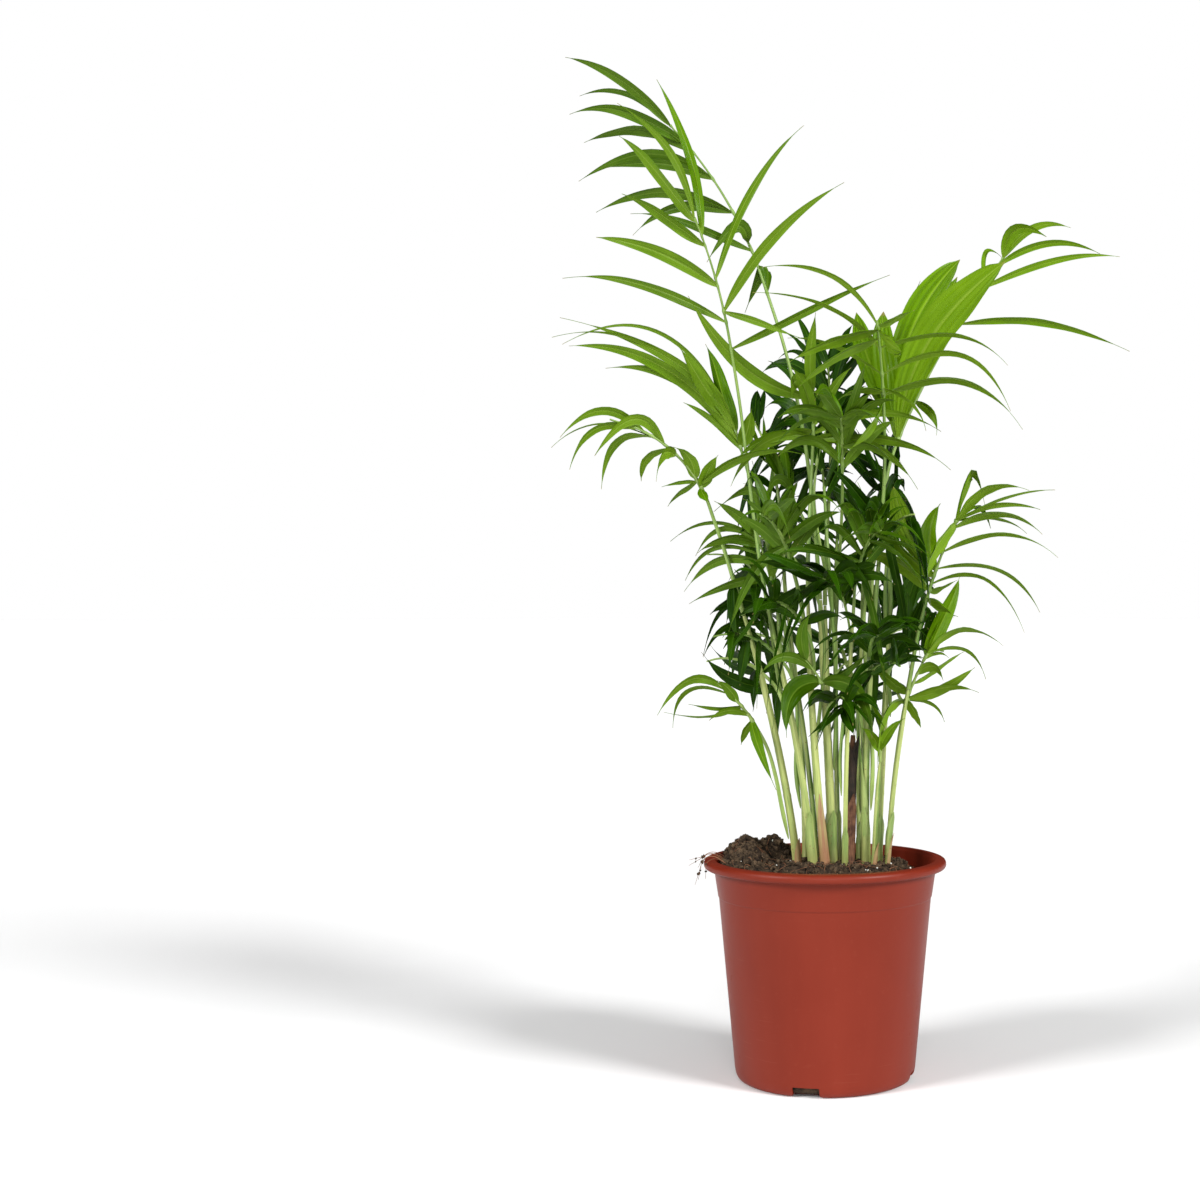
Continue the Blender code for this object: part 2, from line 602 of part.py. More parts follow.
def new_object(name, vertices, faces, holder, look=None, smooth=False):
    mesh = bpy.data.meshes.new(name)
    mesh.from_pydata([tuple(v) for v in vertices], [], faces)
    mesh.validate()
    body = bmesh.new()
    body.from_mesh(mesh)
    bmesh.ops.recalc_face_normals(body, faces=body.faces)
    body.to_mesh(mesh)
    body.free()
    if smooth:
        mesh.shade_smooth()
    made = bpy.data.objects.new(name, mesh)
    holder.objects.link(made)
    if look:
        mesh.materials.append(look)
    return made


def collection(name):
    made = bpy.data.collections.new(name)
    bpy.context.scene.collection.children.link(made)
    return made


def cutter(made):
    made.hide_render = True
    made.display_type = "WIRE"
    return made


def spin(name, profile, holder):
    """A solid of revolution whose profile starts at the top of its outer side."""
    edges = [(i, i + 1) for i in range(len(profile) - 1)]
    mesh = bpy.data.meshes.new(name)
    mesh.from_pydata([(r, 0, z) for r, z in profile], edges, [])
    made = bpy.data.objects.new(name, mesh)
    holder.objects.link(made)
    screw = made.modifiers.new("spin", "SCREW")
    screw.steps = POT_STEPS
    screw.render_steps = POT_STEPS
    screw.use_merge_vertices = True
    screw.merge_threshold = 0.00001
    return made


def cut(body, tool, operation="DIFFERENCE", solver="EXACT"):
    made = body.modifiers.new(operation.lower(), "BOOLEAN")
    made.operation = operation
    made.solver = solver
    made.operand_type = "COLLECTION" if isinstance(tool, bpy.types.Collection) else "OBJECT"
    if made.operand_type == "COLLECTION":
        made.collection = tool
    else:
        made.object = tool


def block(name, size, place, turn, holder, bevel=0.0):
    """A box set out along the radius at an angle, with its long edges rounded where asked."""
    x, y, z = (s / 2 for s in size)
    corners = [(i * x, j * y, k * z) for i in (-1, 1) for j in (-1, 1) for k in (-1, 1)]
    faces = [(0, 1, 3, 2), (4, 6, 7, 5), (0, 4, 5, 1), (2, 3, 7, 6), (0, 2, 6, 4), (1, 5, 7, 3)]
    made = cutter(new_object(name, corners, faces, holder))
    if bevel:
        body = bmesh.new()
        body.from_mesh(made.data)
        long_edges = [e for e in body.edges if abs(e.verts[0].co.x - e.verts[1].co.x) > x]
        bmesh.ops.bevel(body, geom=long_edges, offset=bevel, segments=3, profile=0.5, affect="EDGES")
        body.to_mesh(made.data)
        body.free()
    made.matrix_world = Matrix.Rotation(math.radians(turn), 4, "Z") @ Matrix.Translation(place)
    return made


def apply_modifiers(made):
    shown = made.evaluated_get(bpy.context.evaluated_depsgraph_get())
    mesh = bpy.data.meshes.new_from_object(shown)
    old = made.data
    made.modifiers.clear()
    made.data = mesh
    bpy.data.meshes.remove(old)


def remove_all(holder):
    for made in list(holder.objects):
        mesh = made.data
        bpy.data.objects.remove(made)
        if mesh and mesh.users == 0:
            bpy.data.meshes.remove(mesh)
    bpy.data.collections.remove(holder)


def wall_radius(z):
    """The lower wall's outer radius at a height."""
    foot, slope = 7 * MM, (BAND_FOOT_RADIUS - STEP_IN - BASE_RADIUS - 0.8 * MM) / (BAND_FOOT - 7 * MM)
    return BASE_RADIUS + 0.8 * MM + (z - foot) * slope


def pot_profiles():
    top, rim, under = POT_HEIGHT, RIM_RADIUS, POT_HEIGHT - RIM_DEPTH
    step = BAND_FOOT - 0.8 * MM
    outer = [
        (0, top), (78.0 * MM, top), (rim - 3.0 * MM, top), (rim - 0.8 * MM, top - 0.8 * MM),
        (rim, top - 2.4 * MM), (rim, top - 4.4 * MM), (rim - 0.8 * MM, top - 5.8 * MM),
        (rim - 2.2 * MM, under + 0.2 * MM), (BAND_TOP_RADIUS + 0.9 * MM, under),
        (BAND_TOP_RADIUS, under - 1.0 * MM),
        (BAND_FOOT_RADIUS, BAND_FOOT), (BAND_FOOT_RADIUS - STEP_IN, step), (wall_radius(60 * MM), 60 * MM),
        (wall_radius(7 * MM), 7 * MM), (BASE_RADIUS, 3.4 * MM), (BASE_RADIUS - 1.4 * MM, 1.1 * MM),
        (BASE_RADIUS - 3.6 * MM, 0), (0, 0),
    ]
    inner = [
        (0, top + 4 * MM), (78.6 * MM, top + 4 * MM), (77.8 * MM, top - 0.5 * MM),
        (76.7 * MM, top - 2.2 * MM),
        (BAND_TOP_RADIUS - WALL, under - 1.0 * MM), (BAND_FOOT_RADIUS - WALL, BAND_FOOT),
        (BAND_FOOT_RADIUS - STEP_IN - WALL, step), (wall_radius(60 * MM) - WALL, 60 * MM),
        (wall_radius(7 * MM) - WALL, 7 * MM), (BASE_RADIUS - WALL - 0.3 * MM, 3.9 * MM),
        (BASE_RADIUS - WALL - 1.6 * MM, FLOOR), (0, FLOOR),
    ]
    return outer, inner


def inner_radius(z, inner):
    for (high_r, high_z), (low_r, low_z) in zip(inner[1:], inner[2:]):
        if low_z <= z <= high_z:
            return low_r + (high_r - low_r) * (z - low_z) / max(high_z - low_z, 1e-9)
    return inner[-2][0]


def build_pot(holder, guides, look):
    outer, inner = pot_profiles()
    pot = spin("pot", outer, holder)
    pot.data.materials.append(look)
    hollow = cutter(spin("pot_hollow", inner, guides))
    humps = collection("pot humps")
    mouths = collection("pot notches")
    rise = NOTCH_HEIGHT + WALL
    for k in range(NOTCHES):
        turn = NOTCH_TURN + 360 * k / NOTCHES
        place = Vector((62 * MM, 0, rise / 2 - 5 * MM))
        block(f"hump_{k}", (32 * MM, NOTCH_WIDTH + 2 * WALL, rise + 10 * MM), place, turn, humps)
        middle = (NOTCH_REACH[0] + NOTCH_REACH[1]) / 2
        size = (NOTCH_REACH[1] - NOTCH_REACH[0], NOTCH_WIDTH, NOTCH_HEIGHT * 2)
        block(f"notch_{k}", size, Vector((middle, 0, 0)), turn, mouths, 4 * MM)
    cut(hollow, humps)
    cut(pot, hollow)
    cut(pot, mouths)
    apply_modifiers(pot)
    pot.data.shade_smooth()
    remove_all(humps)
    remove_all(mouths)
    bpy.data.objects.remove(hollow)
    return inner


def soil_height(x, y):
    """The compost's surface: level round the canes, then falling to the wall, with heaps and a hollow."""
    (mid_x, mid_y), (half_x, half_y) = SOIL_MID, SOIL_HALF
    spread = math.hypot((x - mid_x) / half_x, (y - mid_y) / half_y)
    away = max(0.0, min(1.0, (spread - 1.0) / 0.5))
    away = away * away * (3 - 2 * away)
    height = SOIL + (SOIL_EDGE - SOIL) * away
    for heap_x, heap_y, rise, wide, deep in HEAPS:
        reach = ((x / MM - heap_x) / wide) ** 2 + ((y / MM - heap_y) / deep) ** 2
        height += rise * MM * math.exp(-reach) * away
    return height


def build_compost(holder, inner, look):
    low = FLOOR + GAP
    rows = [0.0, 0.22, 0.42, 0.56, 0.68, 0.78, 0.87, 0.94, 1.0]
    spokes = 32
    edge = inner_radius(SOIL_EDGE, inner) - GAP - 0.3 * MM
    vertices, faces = [Vector((0, 0, SOIL))], []
    for share in rows[1:]:
        for k in range(spokes):
            angle = 2 * math.pi * k / spokes
            x, y = edge * share * math.cos(angle), edge * share * math.sin(angle)
            vertices.append(Vector((x, y, soil_height(x, y))))
    levels = [z for _, z in inner[5:-1]]
    for z in levels:
        radius = inner_radius(z, inner) - GAP - 0.2 * MM
        for k in range(spokes):
            angle = 2 * math.pi * k / spokes
            vertices.append(Vector((radius * math.cos(angle), radius * math.sin(angle), max(z, low))))
    rings = len(rows) - 1 + len(levels)
    for k in range(spokes):
        faces.append((0, 1 + k, 1 + (k + 1) % spokes))
        for i in range(rings - 1):
            here, after = 1 + i * spokes + k, 1 + i * spokes + (k + 1) % spokes
            faces.append((here, here + spokes, after + spokes, after))
    base = 1 + (rings - 1) * spokes
    faces.append(tuple(base + k for k in reversed(range(spokes))))
    compost = new_object("compost", vertices, faces, holder, look, True)
    rooms = collection("compost rooms")
    rise = NOTCH_HEIGHT + WALL + GAP
    for k in range(NOTCHES):
        place = Vector((62 * MM - GAP, 0, rise / 2 - 5 * MM))
        size = (32 * MM, NOTCH_WIDTH + 2 * WALL + 2 * GAP, rise + 10 * MM)
        block(f"room_{k}", size, place, NOTCH_TURN + 360 * k / NOTCHES, rooms)
    cut(compost, rooms)
    apply_modifiers(compost)
    remove_all(rooms)


def whole(mesh):
    """The mesh as triangles without sealed hollows and loose scraps: its one largest piece."""
    body = bmesh.new()
    body.from_mesh(mesh)
    bmesh.ops.triangulate(body, faces=body.faces)
    left = set(body.faces)
    pieces = []
    while left:
        first = left.pop()
        piece, front = {first}, [first]
        while front:
            face = front.pop()
            for edge in (e for e in face.edges if len(e.link_faces) == 2):
                for other in edge.link_faces:
                    if other in left:
                        left.discard(other)
                        piece.add(other)
                        front.append(other)
        pieces.append(piece)
    pieces.sort(key=lambda p: -sum(f.calc_area() for f in p))
    scraps = [f for piece in pieces[1:] for f in piece]
    if scraps:
        bmesh.ops.delete(body, geom=scraps, context="FACES")
    body.to_mesh(mesh)
    body.free()
    return len(pieces)


def build_plant(holder, looks):
    canes, fronds, _ = plan()
    for name, cane in canes.items():
        look = looks["cane"]
        if name == "cane_8":
            look = looks["husk"]
        new_object(name, *cane_shape(cane["path"], cane["radii"]), holder, look, True)
    skipped = 0
    for name, frond in fronds.items():
        young = name in ("frond_right", "frond_young_left", "frond_high_left", "frond_new")
        look = looks["young" if young else "leaf"]
        made = new_object(name, *axis_shape(frond["path"], frond["width"]), holder, look)
        parts = collection(name + " blades")
        for k, leaf in enumerate(frond["leaves"]):
            new_object(f"{name}_{k}", *blade(leaf), parts)
        cut(made, parts, "UNION", "MANIFOLD")
        apply_modifiers(made)
        remove_all(parts)
        pieces = whole(made.data)
        skipped += frond["skipped"]
        print(name, "leaflets", len(frond["leaves"]), "skipped", frond["skipped"], "shells", pieces,
              "faces", len(made.data.polygons))
    total = sum(len(f["leaves"]) for f in fronds.values())
    print("fronds", len(fronds), "leaflets", total, "skipped", skipped)


def main():
    for old in list(bpy.data.objects):
        bpy.data.objects.remove(old)
    holder = collection("parlour palm")
    guides = collection("guides")
    looks = {
        "pot": material("terracotta red plastic", (0.32, 0.045, 0.022), 0.42),
        "soil": material("compost", (0.045, 0.024, 0.013), 0.95),
        "cane": material("cane green", (0.36, 0.38, 0.12), 0.5),
        "husk": material("dry husk", (0.10, 0.04, 0.02), 0.8),
        "leaf": material("leaf green", (0.035, 0.14, 0.012), 0.45),
        "young": material("young leaf green", (0.10, 0.27, 0.02), 0.42),
    }
    inner = build_pot(holder, guides, looks["pot"])
    build_compost(holder, inner, looks["soil"])
    build_plant(holder, looks)
    bpy.data.collections.remove(guides)
    print("triangles", sum(len(o.data.loop_triangles) or sum(len(p.vertices) - 2 for p in o.data.polygons)
                           for o in holder.objects))


main()
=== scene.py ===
"""Looks of a parlour palm in a round nursery pot. Metres, +Z up, the front is -Y.

The canes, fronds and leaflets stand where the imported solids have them, because the same sizes and the
same seeded rule are written here again. Each is then made finer: ribbed leaflets, sheathed canes, a turned
pot and loose compost.
"""

import math
import random

import bmesh
import bpy
import numpy as np
from mathutils import Matrix, Quaternion, Vector, noise
from mathutils.bvhtree import BVHTree


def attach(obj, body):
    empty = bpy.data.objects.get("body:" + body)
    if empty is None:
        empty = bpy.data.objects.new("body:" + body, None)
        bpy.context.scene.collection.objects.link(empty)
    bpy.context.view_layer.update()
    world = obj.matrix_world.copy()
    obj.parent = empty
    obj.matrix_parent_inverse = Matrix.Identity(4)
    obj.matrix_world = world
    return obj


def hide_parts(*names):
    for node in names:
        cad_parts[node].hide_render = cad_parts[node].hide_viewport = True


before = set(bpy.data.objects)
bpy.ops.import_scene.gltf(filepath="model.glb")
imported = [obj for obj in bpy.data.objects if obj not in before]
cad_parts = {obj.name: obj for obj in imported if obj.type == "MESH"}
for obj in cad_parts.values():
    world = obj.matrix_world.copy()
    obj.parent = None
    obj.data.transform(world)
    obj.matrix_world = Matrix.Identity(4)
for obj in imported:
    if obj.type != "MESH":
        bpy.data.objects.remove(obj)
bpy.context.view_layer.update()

MM = 0.001
GAP = 0.35 * MM
SEED = 41

# The pot: a rolled rim, a band below it, a fine step and a tapering wall
POT_HEIGHT = 153 * MM
RIM_RADIUS = 85 * MM
RIM_DEPTH = 6.6 * MM
BAND_TOP_RADIUS = 77.7 * MM
BAND_FOOT = 127.3 * MM
BAND_FOOT_RADIUS = 75.0 * MM
STEP_IN = 0.6 * MM
BASE_RADIUS = 62.4 * MM
WALL = 1.6 * MM
FLOOR = 2.2 * MM
FOOT_TOP = 7 * MM
FOOT_STEP = 0.8 * MM
MID_WALL = 60 * MM
POT_STEPS = 176
NOTCHES = 4
NOTCH_TURN = -12
NOTCH_WIDTH = 18.5 * MM
NOTCH_HEIGHT = 7.3 * MM
NOTCH_REACH = (50 * MM, 70 * MM)

# The compost: flat where the canes stand, heaped at the left and low at the right
SOIL = 149.0 * MM
SOIL_MID = (12 * MM, 7 * MM)
SOIL_HALF = (40 * MM, 25 * MM)
SOIL_EDGE = 143 * MM
HEAPS = (
    (-57, 16, 20, 17, 19),
    (-36, 34, 17, 14, 14),
    (-58, -16, 11, 15, 20),
    (6, 52, 8, 24, 12),
    (-10, -48, 3, 30, 14),
    (64, 6, -6, 14, 26),
)

# Fronds seen in the picture are set out in mm on the upright plane through the pot's axis, as seen from
# this far off and at this height, and then stand at their own depth behind or before that plane.
EYE_FAR = 1290 * MM
EYE_HIGH = 334 * MM

# Canes: foot (x, y), bend (x, z), head (x, z, y), then widths at foot and head, all in mm
CANES = {
    "cane_1": ((-19.7, 2), (-35.8, 243), (-56.9, 323, -12), (5.8, 4.2)),
    "cane_2": ((-8.4, -5), (-22.5, 246), (-35.1, 306, -24), (5.6, 3.6)),
    "cane_3": ((-5.6, 9), (-16.2, 250), (-26.0, 306, 14), (3.8, 3.4)),
    "cane_4": ((0.0, -3), (-9.1, 260), (-11.9, 334, -16), (6.0, 4.0)),
    "cane_5": ((5.6, 4), (0.7, 257), (-3.5, 334, 4), (6.6, 5.4)),
    "cane_6": ((9.8, 11), (7.7, 243), (7.7, 327, 20), (3.6, 3.4)),
    "cane_7": ((14.0, -8), (16.2, 253), (19.7, 320, -26), (3.2, 3.0)),
    "cane_8": ((17.0, 0), (18.2, 200), (19.7, 239, -2), (6.4, 5.6)),
    "cane_9": ((23.9, 6), (23.9, 243), (26.0, 320, 12), (3.2, 3.0)),
    "cane_10": ((28.8, 0), (29.5, 236), (34.4, 320, -14), (5.2, 4.0)),
    "cane_11": ((34.0, -8), (36.8, 195), (38.6, 220, -13), (3.6, 3.2)),
    "cane_12": ((37.2, 4), (41.4, 243), (45.7, 320, 8), (5.0, 4.2)),
    "cane_13": ((43.6, -3), (52.0, 232), (58.3, 271, -8), (3.4, 4.0)),
    "cane_14": ((4.0, 24), (2.0, 250), (0.0, 330, 44), (5.0, 4.0)),
    "cane_15": ((26.0, 22), (28.0, 250), (32.0, 330, 42), (5.0, 4.0)),
    "cane_16": ((-14.0, 20), (-18.0, 250), (-26.0, 322, 38), (4.6, 3.8)),
}

# Fronds traced from the picture. cane and leave say where the petiole starts (1 is the cane's head).
# base is the first leaflet's place (x, z), depth the y there and at the rachis's tip, rachis its length
# and its headings, counter-clockwise from +X. Each leaflet is: place along the rachis, reach, heading,
# bow (how far its middle rises above the chord), and where needed breadth, the depth its tip moves,
# and lean (how far its middle moves along the chord).
# breadth is as it shows, and tilt turns the blades about their length so that they are wider from above.
DRAWN = {
    "frond_top_left": dict(
        cane="cane_5", leave=1, base=(-40.7, 549.7), depth=(12, 42), rachis=(137, 107, 133),
        breadth=6, tilt=36,
        leaflets=(
            (0, 21, 222, 14, 9, 12, -21), (0.25, 32, 199, 17, 8.5, -16, -11), (0.23, 89, 163, 6, 5),
            (0.45, 96, 180, 13, 6.5), (0.45, 72, 193, 12, 6.5, 14), (0.65, 94, 181, 17, 6.5),
            (0.65, 75, 174, 6, 7, 12), (0.82, 77, 175, 12, 7.5), (0.88, 84, 166, 12, 7, -10),
            (1, 67, 162, 12, 4), (1, 88, 147, 8, 5.5, -6),
        ),
    ),
    "frond_high_left": dict(
        cane="cane_2", leave=1, base=(-66.0, 510.3), depth=(-32, -66), rachis=(96, 99, 112),
        breadth=8.5, tilt=22,
        leaflets=(
            (0, 123, 25, 2, 5, -14), (0.2, 119, 165, 11, 7.5), (0.28, 124, 47, 10, 6.5),
            (0.28, 57, 341, 0, 5, -16), (0.47, 92, 158, 6, 8.5), (0.53, 124, 60, 9, 6.5),
            (0.78, 69, 148, 3, 7.5, -8), (0.97, 81, 132, 3, 9), (1, 97, 124, 11, 6.5, 8),
            (0.85, 115, 106, 7, 7),
        ),
    ),
    "frond_left": dict(
        cane="cane_1", leave=1, base=(-78.0, 390.2), depth=(-16, -44), rachis=(107, 104, 168),
        breadth=7, tilt=30,
        leaflets=(
            (0.28, 25, 189, 1, 3), (0.28, 27, 221, 2, 4, 12), (0.23, 26, 62, 1, 9, -8),
            (0.23, 11, 293, 0, 6.5, -12), (0.25, 77, 16, 11, 6.5, -24), (0.3, 27, 124, 5, 8.5, -10),
            (0.5, 23, 233, 8, 7.5, -14, -7), (0.57, 30, 231, 7, 5.5, 12),
            (0.6, 50, 189, 21, 6.5, -14, -6), (0.7, 51, 226, 15, 5.5, 12, -5),
            (0.82, 55, 212, 14, 5, -10), (0.7, 71, 186, 13, 2, 16), (0.75, 60, 183, 17, 5.5),
        ),
    ),
    "frond_young_left": dict(
        cane="cane_3", leave=1, base=(-59.0, 440.0), depth=(4, 8), rachis=(34, 105, 118),
        breadth=9.5, tilt=20,
        leaflets=(
            (0, 52, 141, 3, 5, 10), (0.07, 109, 150, 19, 9, 14), (0.2, 136, 151, 20, 9, 4),
            (0.38, 147, 147, 17, 7.5, -6, -9), (0.62, 139, 155, 24, 3, -16),
            (0.75, 127, 157, 36, 3, 22), (0.72, 63, 126, -1, 13.5, -12), (0.35, 66, 109, 1, 12.5, 10),
            (0.05, 28, 73, -1, 10.5, -10),
        ),
    ),
    "frond_right": dict(
        cane="cane_12", leave=1, base=(51.3, 446.4), depth=(14, 46), rachis=(148, 67, 53),
        breadth=7, tilt=34,
        leaflets=(
            (0, 146, 59, 16, 28, -8), (0, 134, 71, 15, 23, 14, 6), (0, 122, 70, 5, 17, 30),
            (0, 113, 82, 7, 14, 22), (0.03, 91, 110, -4, 17.5, 20), (0.03, 87, 98, -5, 19, 8),
            (0.2, 28, 302, 6, 6.5, -8), (0.62, 122, 351, 9, 5), (0.82, 100, 13, 8, 5, 10),
            (0.95, 73, 7, 12, 5, -6), (1, 52, 24, 11, 5.5, 8), (1, 34, 26, 14, 7.5, -12),
            (0.85, 22, 56, 12, 3.5, 16, 8),
        ),
    ),
    "frond_front_right": dict(
        cane="cane_10", leave=1, base=(41.4, 467.5), depth=(-28, -58), rachis=(63, 92, 97),
        breadth=5, tilt=46,
        leaflets=(
            (0.25, 43, 315, 7, 3), (0.17, 101, 346, 23, 6, -10), (0.2, 32, 190, 5, 5),
            (0.4, 94, 344, 29, 4, -14), (0.4, 71, 159, 7, 3.5, 8), (0.7, 91, 352, 17, 4, -8),
            (0.68, 98, 156, 13, 3.5, 0, -11), (0.9, 66, 200, 3, 7, -14), (0.8, 65, 211, 4, 6.5, -20),
            (0.95, 28, 22, 0, 5.5), (0.93, 24, 314, -2, 11, -22), (0.17, 48, 237, -5, 7, -18),
            (0.97, 90, 154, 16, 3.5),
        ),
    ),
    "frond_centre": dict(
        cane="cane_4", leave=1, base=(-8.5, 446.0), depth=(-8, -12), rachis=(34, 88, 92),
        breadth=7, tilt=26,
        leaflets=(
            (0.0, 99, 348, 12, 7, -14), (0.05, 82, 334, 14, 8, -24), (0.06, 55, 195, 8, 8, -16),
            (0.14, 90, 1, 14, 6, -6), (0.2, 70, 214, 12, 8.5, -20), (0.3, 49, 57, 3, 7, -6),
            (0.5, 38, 114, 3, 9.5, -12), (0.9, 113, 141, -13, 10, -8),
            (1.0, 62, 286, 10, 12.5, -22, -12), (1.0, 16, 205, 12, 11, -12),
            (1.0, 56, 88, 2, 7),
        ),
    ),
    "frond_right_low": dict(
        cane="cane_13", leave=1, base=(70.3, 330.5), depth=(-15, -36), rachis=(64, 75, 64),
        breadth=5, tilt=46,
        leaflets=(
            (0.07, 23, 325, 3, 8.5, -8), (0.17, 21, 20, -1, 6.5, 8), (0.25, 74, 332, 21, 3.5, 0, -6),
            (0.42, 79, 337, 17, 4), (0.35, 68, 115, -4, 12, -8), (0.4, 47, 86, 6, 10.5, 8),
            (0.62, 81, 357, 15, 3.5), (0.97, 53, 246, 6, 12.5, -18), (0.9, 63, 356, 13, 5.5, -6),
            (1, 50, 349, 7, 3, 12), (1, 59, 7, 7, 3), (1, 72, 17, 5, 2, 8), (1, 55, 22, 12, 6.5, -8),
            (0.93, 26, 34, 24, 8.5, 4, 17), (0.97, 25, 350, 14, 5.5, 14), (0.33, 85, 129, -6, 10, 10),
            (0.17, 65, 159, 11, 9, -6, 5),
        ),
    ),
    "frond_right_lowest": dict(
        cane="cane_12", leave=0.74, base=(56.5, 262.0), depth=(-2, -16), rachis=(38, 70, 62),
        breadth=7, tilt=30,
        leaflets=(
            (0.05, 22, 298, 1, 7), (0.05, 31, 330, 7, 3, 10), (0.07, 51, 5, 6, 5.5),
            (0.1, 52, 24, -4, 7, -12), (0.38, 42, 32, 0, 5, 8), (0.57, 19, 346, 8, 6.5, -8),
            (0.88, 17, 3, 4, 3, 12), (1, 45, 336, 13, 3.5, 10), (0.93, 55, 8, 15, 5.5, -4),
            (0.93, 61, 67, -2, 10.5), (0.85, 39, 52, 7, 5, 14, 8), (0.05, 52, 247, 10, 9, -8, -10),
            (0.2, 33, 143, -1, 8.5, -6),
        ),
    ),
    "frond_front": dict(
        cane="cane_7", leave=0.82, base=(-2.1, 275.7), depth=(-38, -46), rachis=(20, 120, 130),
        breadth=8, tilt=24,
        leaflets=(
            (0.03, 46, 238, 13, 15, -8, -6), (0.03, 53, 312, 15, 14, -8, -7),
            (0.57, 37, 185, 11, 7.5, -10), (0.03, 37, 32, -2, 7, 6), (0.97, 34, 83, 6, 8.5),
        ),
    ),
    "frond_low_left": dict(
        cane="cane_1", leave=0.10, base=(-51.3, 249.7), depth=(-14, -24), rachis=(36, 124, 142),
        breadth=7, tilt=30,
        leaflets=(
            (0, 19, 246, 1, 5, 8), (0, 52, 289, -2, 6.5, -8, -8), (0.12, 28, 188, 5, 5),
            (0.33, 55, 184, -5, 3, 8), (0.35, 37, 178, -2, 3.5, -8), (0.65, 47, 210, 18, 4, 10),
            (0.8, 51, 201, 15, 6.5, 0, -5), (0.45, 21, 134, 2, 6.5, -8),
        ),
    ),
    "frond_mid_left": dict(
        cane="cane_2", leave=0.90, base=(-36.0, 341.0), depth=(-18, -22), rachis=(41, 104, 110),
        breadth=8, tilt=30,
        leaflets=(
            (0.2, 60, 197, 5, 7, -8, -5), (0.45, 61, 198, 12, 6.5), (0.6, 58, 197, 16, 3.5, 10),
            (0.78, 45, 186, 8, 7, -10), (0.85, 46, 192, 15, 4, 12), (0.9, 62, 181, 13, 3),
            (0.97, 39, 141, 2, 7.5, -10), (0.97, 35, 151, 26, 7.5, 8), (0.97, 34, 9, 13, 7.5, -8),
            (0.17, 43, 43, 20, 10, -16, 9),
        ),
    ),
    "frond_mid_low_left": dict(
        cane="cane_3", leave=0.72, base=(-32.0, 273.0), depth=(6, 2), rachis=(55, 100, 97),
        breadth=8, tilt=30,
        leaflets=(
            (0, 60, 156, -9, 10.5, -10), (0.28, 48, 163, -9, 7.5, 6), (0.2, 45, 130, -6, 6.5, 8),
            (0.47, 28, 130, -5, 6.5), (0.8, 51, 205, 12, 5.5, -6), (0.97, 56, 215, 20, 4, 8, -7),
            (1, 41, 185, 8, 10, -12), (0.95, 48, 25, 5, 8.5, -10),
        ),
    ),
    "frond_new": dict(
        cane="cane_11", leave=1, base=(38.8, 226.0), depth=(-13, -14), rachis=(10, 88, 88),
        breadth=7, tilt=20,
        leaflets=((0.1, 22, 128, 3, 7), (0.3, 28, 52, 3, 7, -6), (0.7, 42, 66, 4, 7), (1.0, 32, 108, 2, 7)),
    ),
}

# Fronds that the picture hides or shows only as mass: base in mm, azimuth from +X, elevation at the base
# and the tip, rachis length, pairs of leaflets, their length, and breadth
RULED = {
    "frond_back_high": ("cane_14", 1, (4, 46, 446), 92, 74, 34, 84, 5, 80, 8.5),
    "frond_back_left": ("cane_16", 1, (-34, 46, 410), 112, 66, 30, 80, 5, 68, 8.5),
    "frond_back_right": ("cane_15", 1, (38, 46, 398), 76, 64, 20, 78, 5, 66, 8.5),
    "frond_back_mid": ("cane_14", 0.86, (8, 58, 356), 88, 52, -4, 84, 5, 78, 8.5),
    "frond_back_low_left": ("cane_16", 0.80, (-34, 40, 312), 128, 42, -6, 60, 5, 62, 8),
    "frond_back_low_right": ("cane_15", 0.84, (40, 46, 318), 62, 40, -4, 60, 5, 62, 8),
    "frond_back_low": ("cane_15", 0.62, (16, 64, 286), 98, 34, -14, 70, 5, 66, 8),
    "frond_fill_left": ("cane_6", 1, (-22, 12, 404), 158, 66, 38, 40, 4, 58, 8),
    "frond_fill_right": ("cane_9", 1, (34, -2, 380), 24, 66, 36, 36, 4, 56, 8),
    "frond_fore_left": ("cane_4", 0.82, (-24, -40, 362), 246, 58, 6, 56, 5, 62, 8),
    "frond_fore_right": ("cane_7", 1, (22, -46, 352), 288, 58, 4, 56, 5, 60, 8),
    "frond_fore_low": ("cane_10", 0.80, (30, -40, 296), 276, 46, -8, 46, 4, 54, 8),
    "frond_fore_high": ("cane_6", 0.90, (12, -28, 424), 268, 66, 6, 56, 4, 62, 8),
}

# The dense middle of the crown as it shows, in mm: height, and how far it goes to the left and right
CROWN = ((226, -28, 34), (250, -48, 50), (285, -72, 70), (320, -72, 80), (362, -66, 76), (398, -60, 58),
         (430, -56, 54), (470, -52, 52), (510, -40, 44), (540, -20, 20))
CROWN_SHARES = (1, 0.86, 0.72, 0.6)

LEAF_THICK = 1.2 * MM
LEAF_SHAPE = ((0.0, 0.08), (0.32, 0.96), (0.70, 0.72), (1.0, 0.0))
DEPTH_TRIES = (0, -7, 7, -14, 14, -22, 22, -30, 30)


def seat(x, z, y):
    """The place in metres that shows at (x, z) of the drawn plane and stands at depth y, all in mm."""
    far = (EYE_FAR + y * MM) / EYE_FAR
    return Vector((x * MM * far, y * MM, EYE_HIGH + (z * MM - EYE_HIGH) * far))


def bezier(points, t):
    """A point on the curve of any degree through these control points."""
    while len(points) > 1:
        points = [a.lerp(b, t) for a, b in zip(points, points[1:])]
    return points[0]


def side_of(direction, hint):
    """A unit vector square to the direction, as near to the hint as it can be."""
    flat = hint - direction * hint.dot(direction)
    if flat.length < 1e-6:
        flat = direction.orthogonal()
    return flat.normalized()


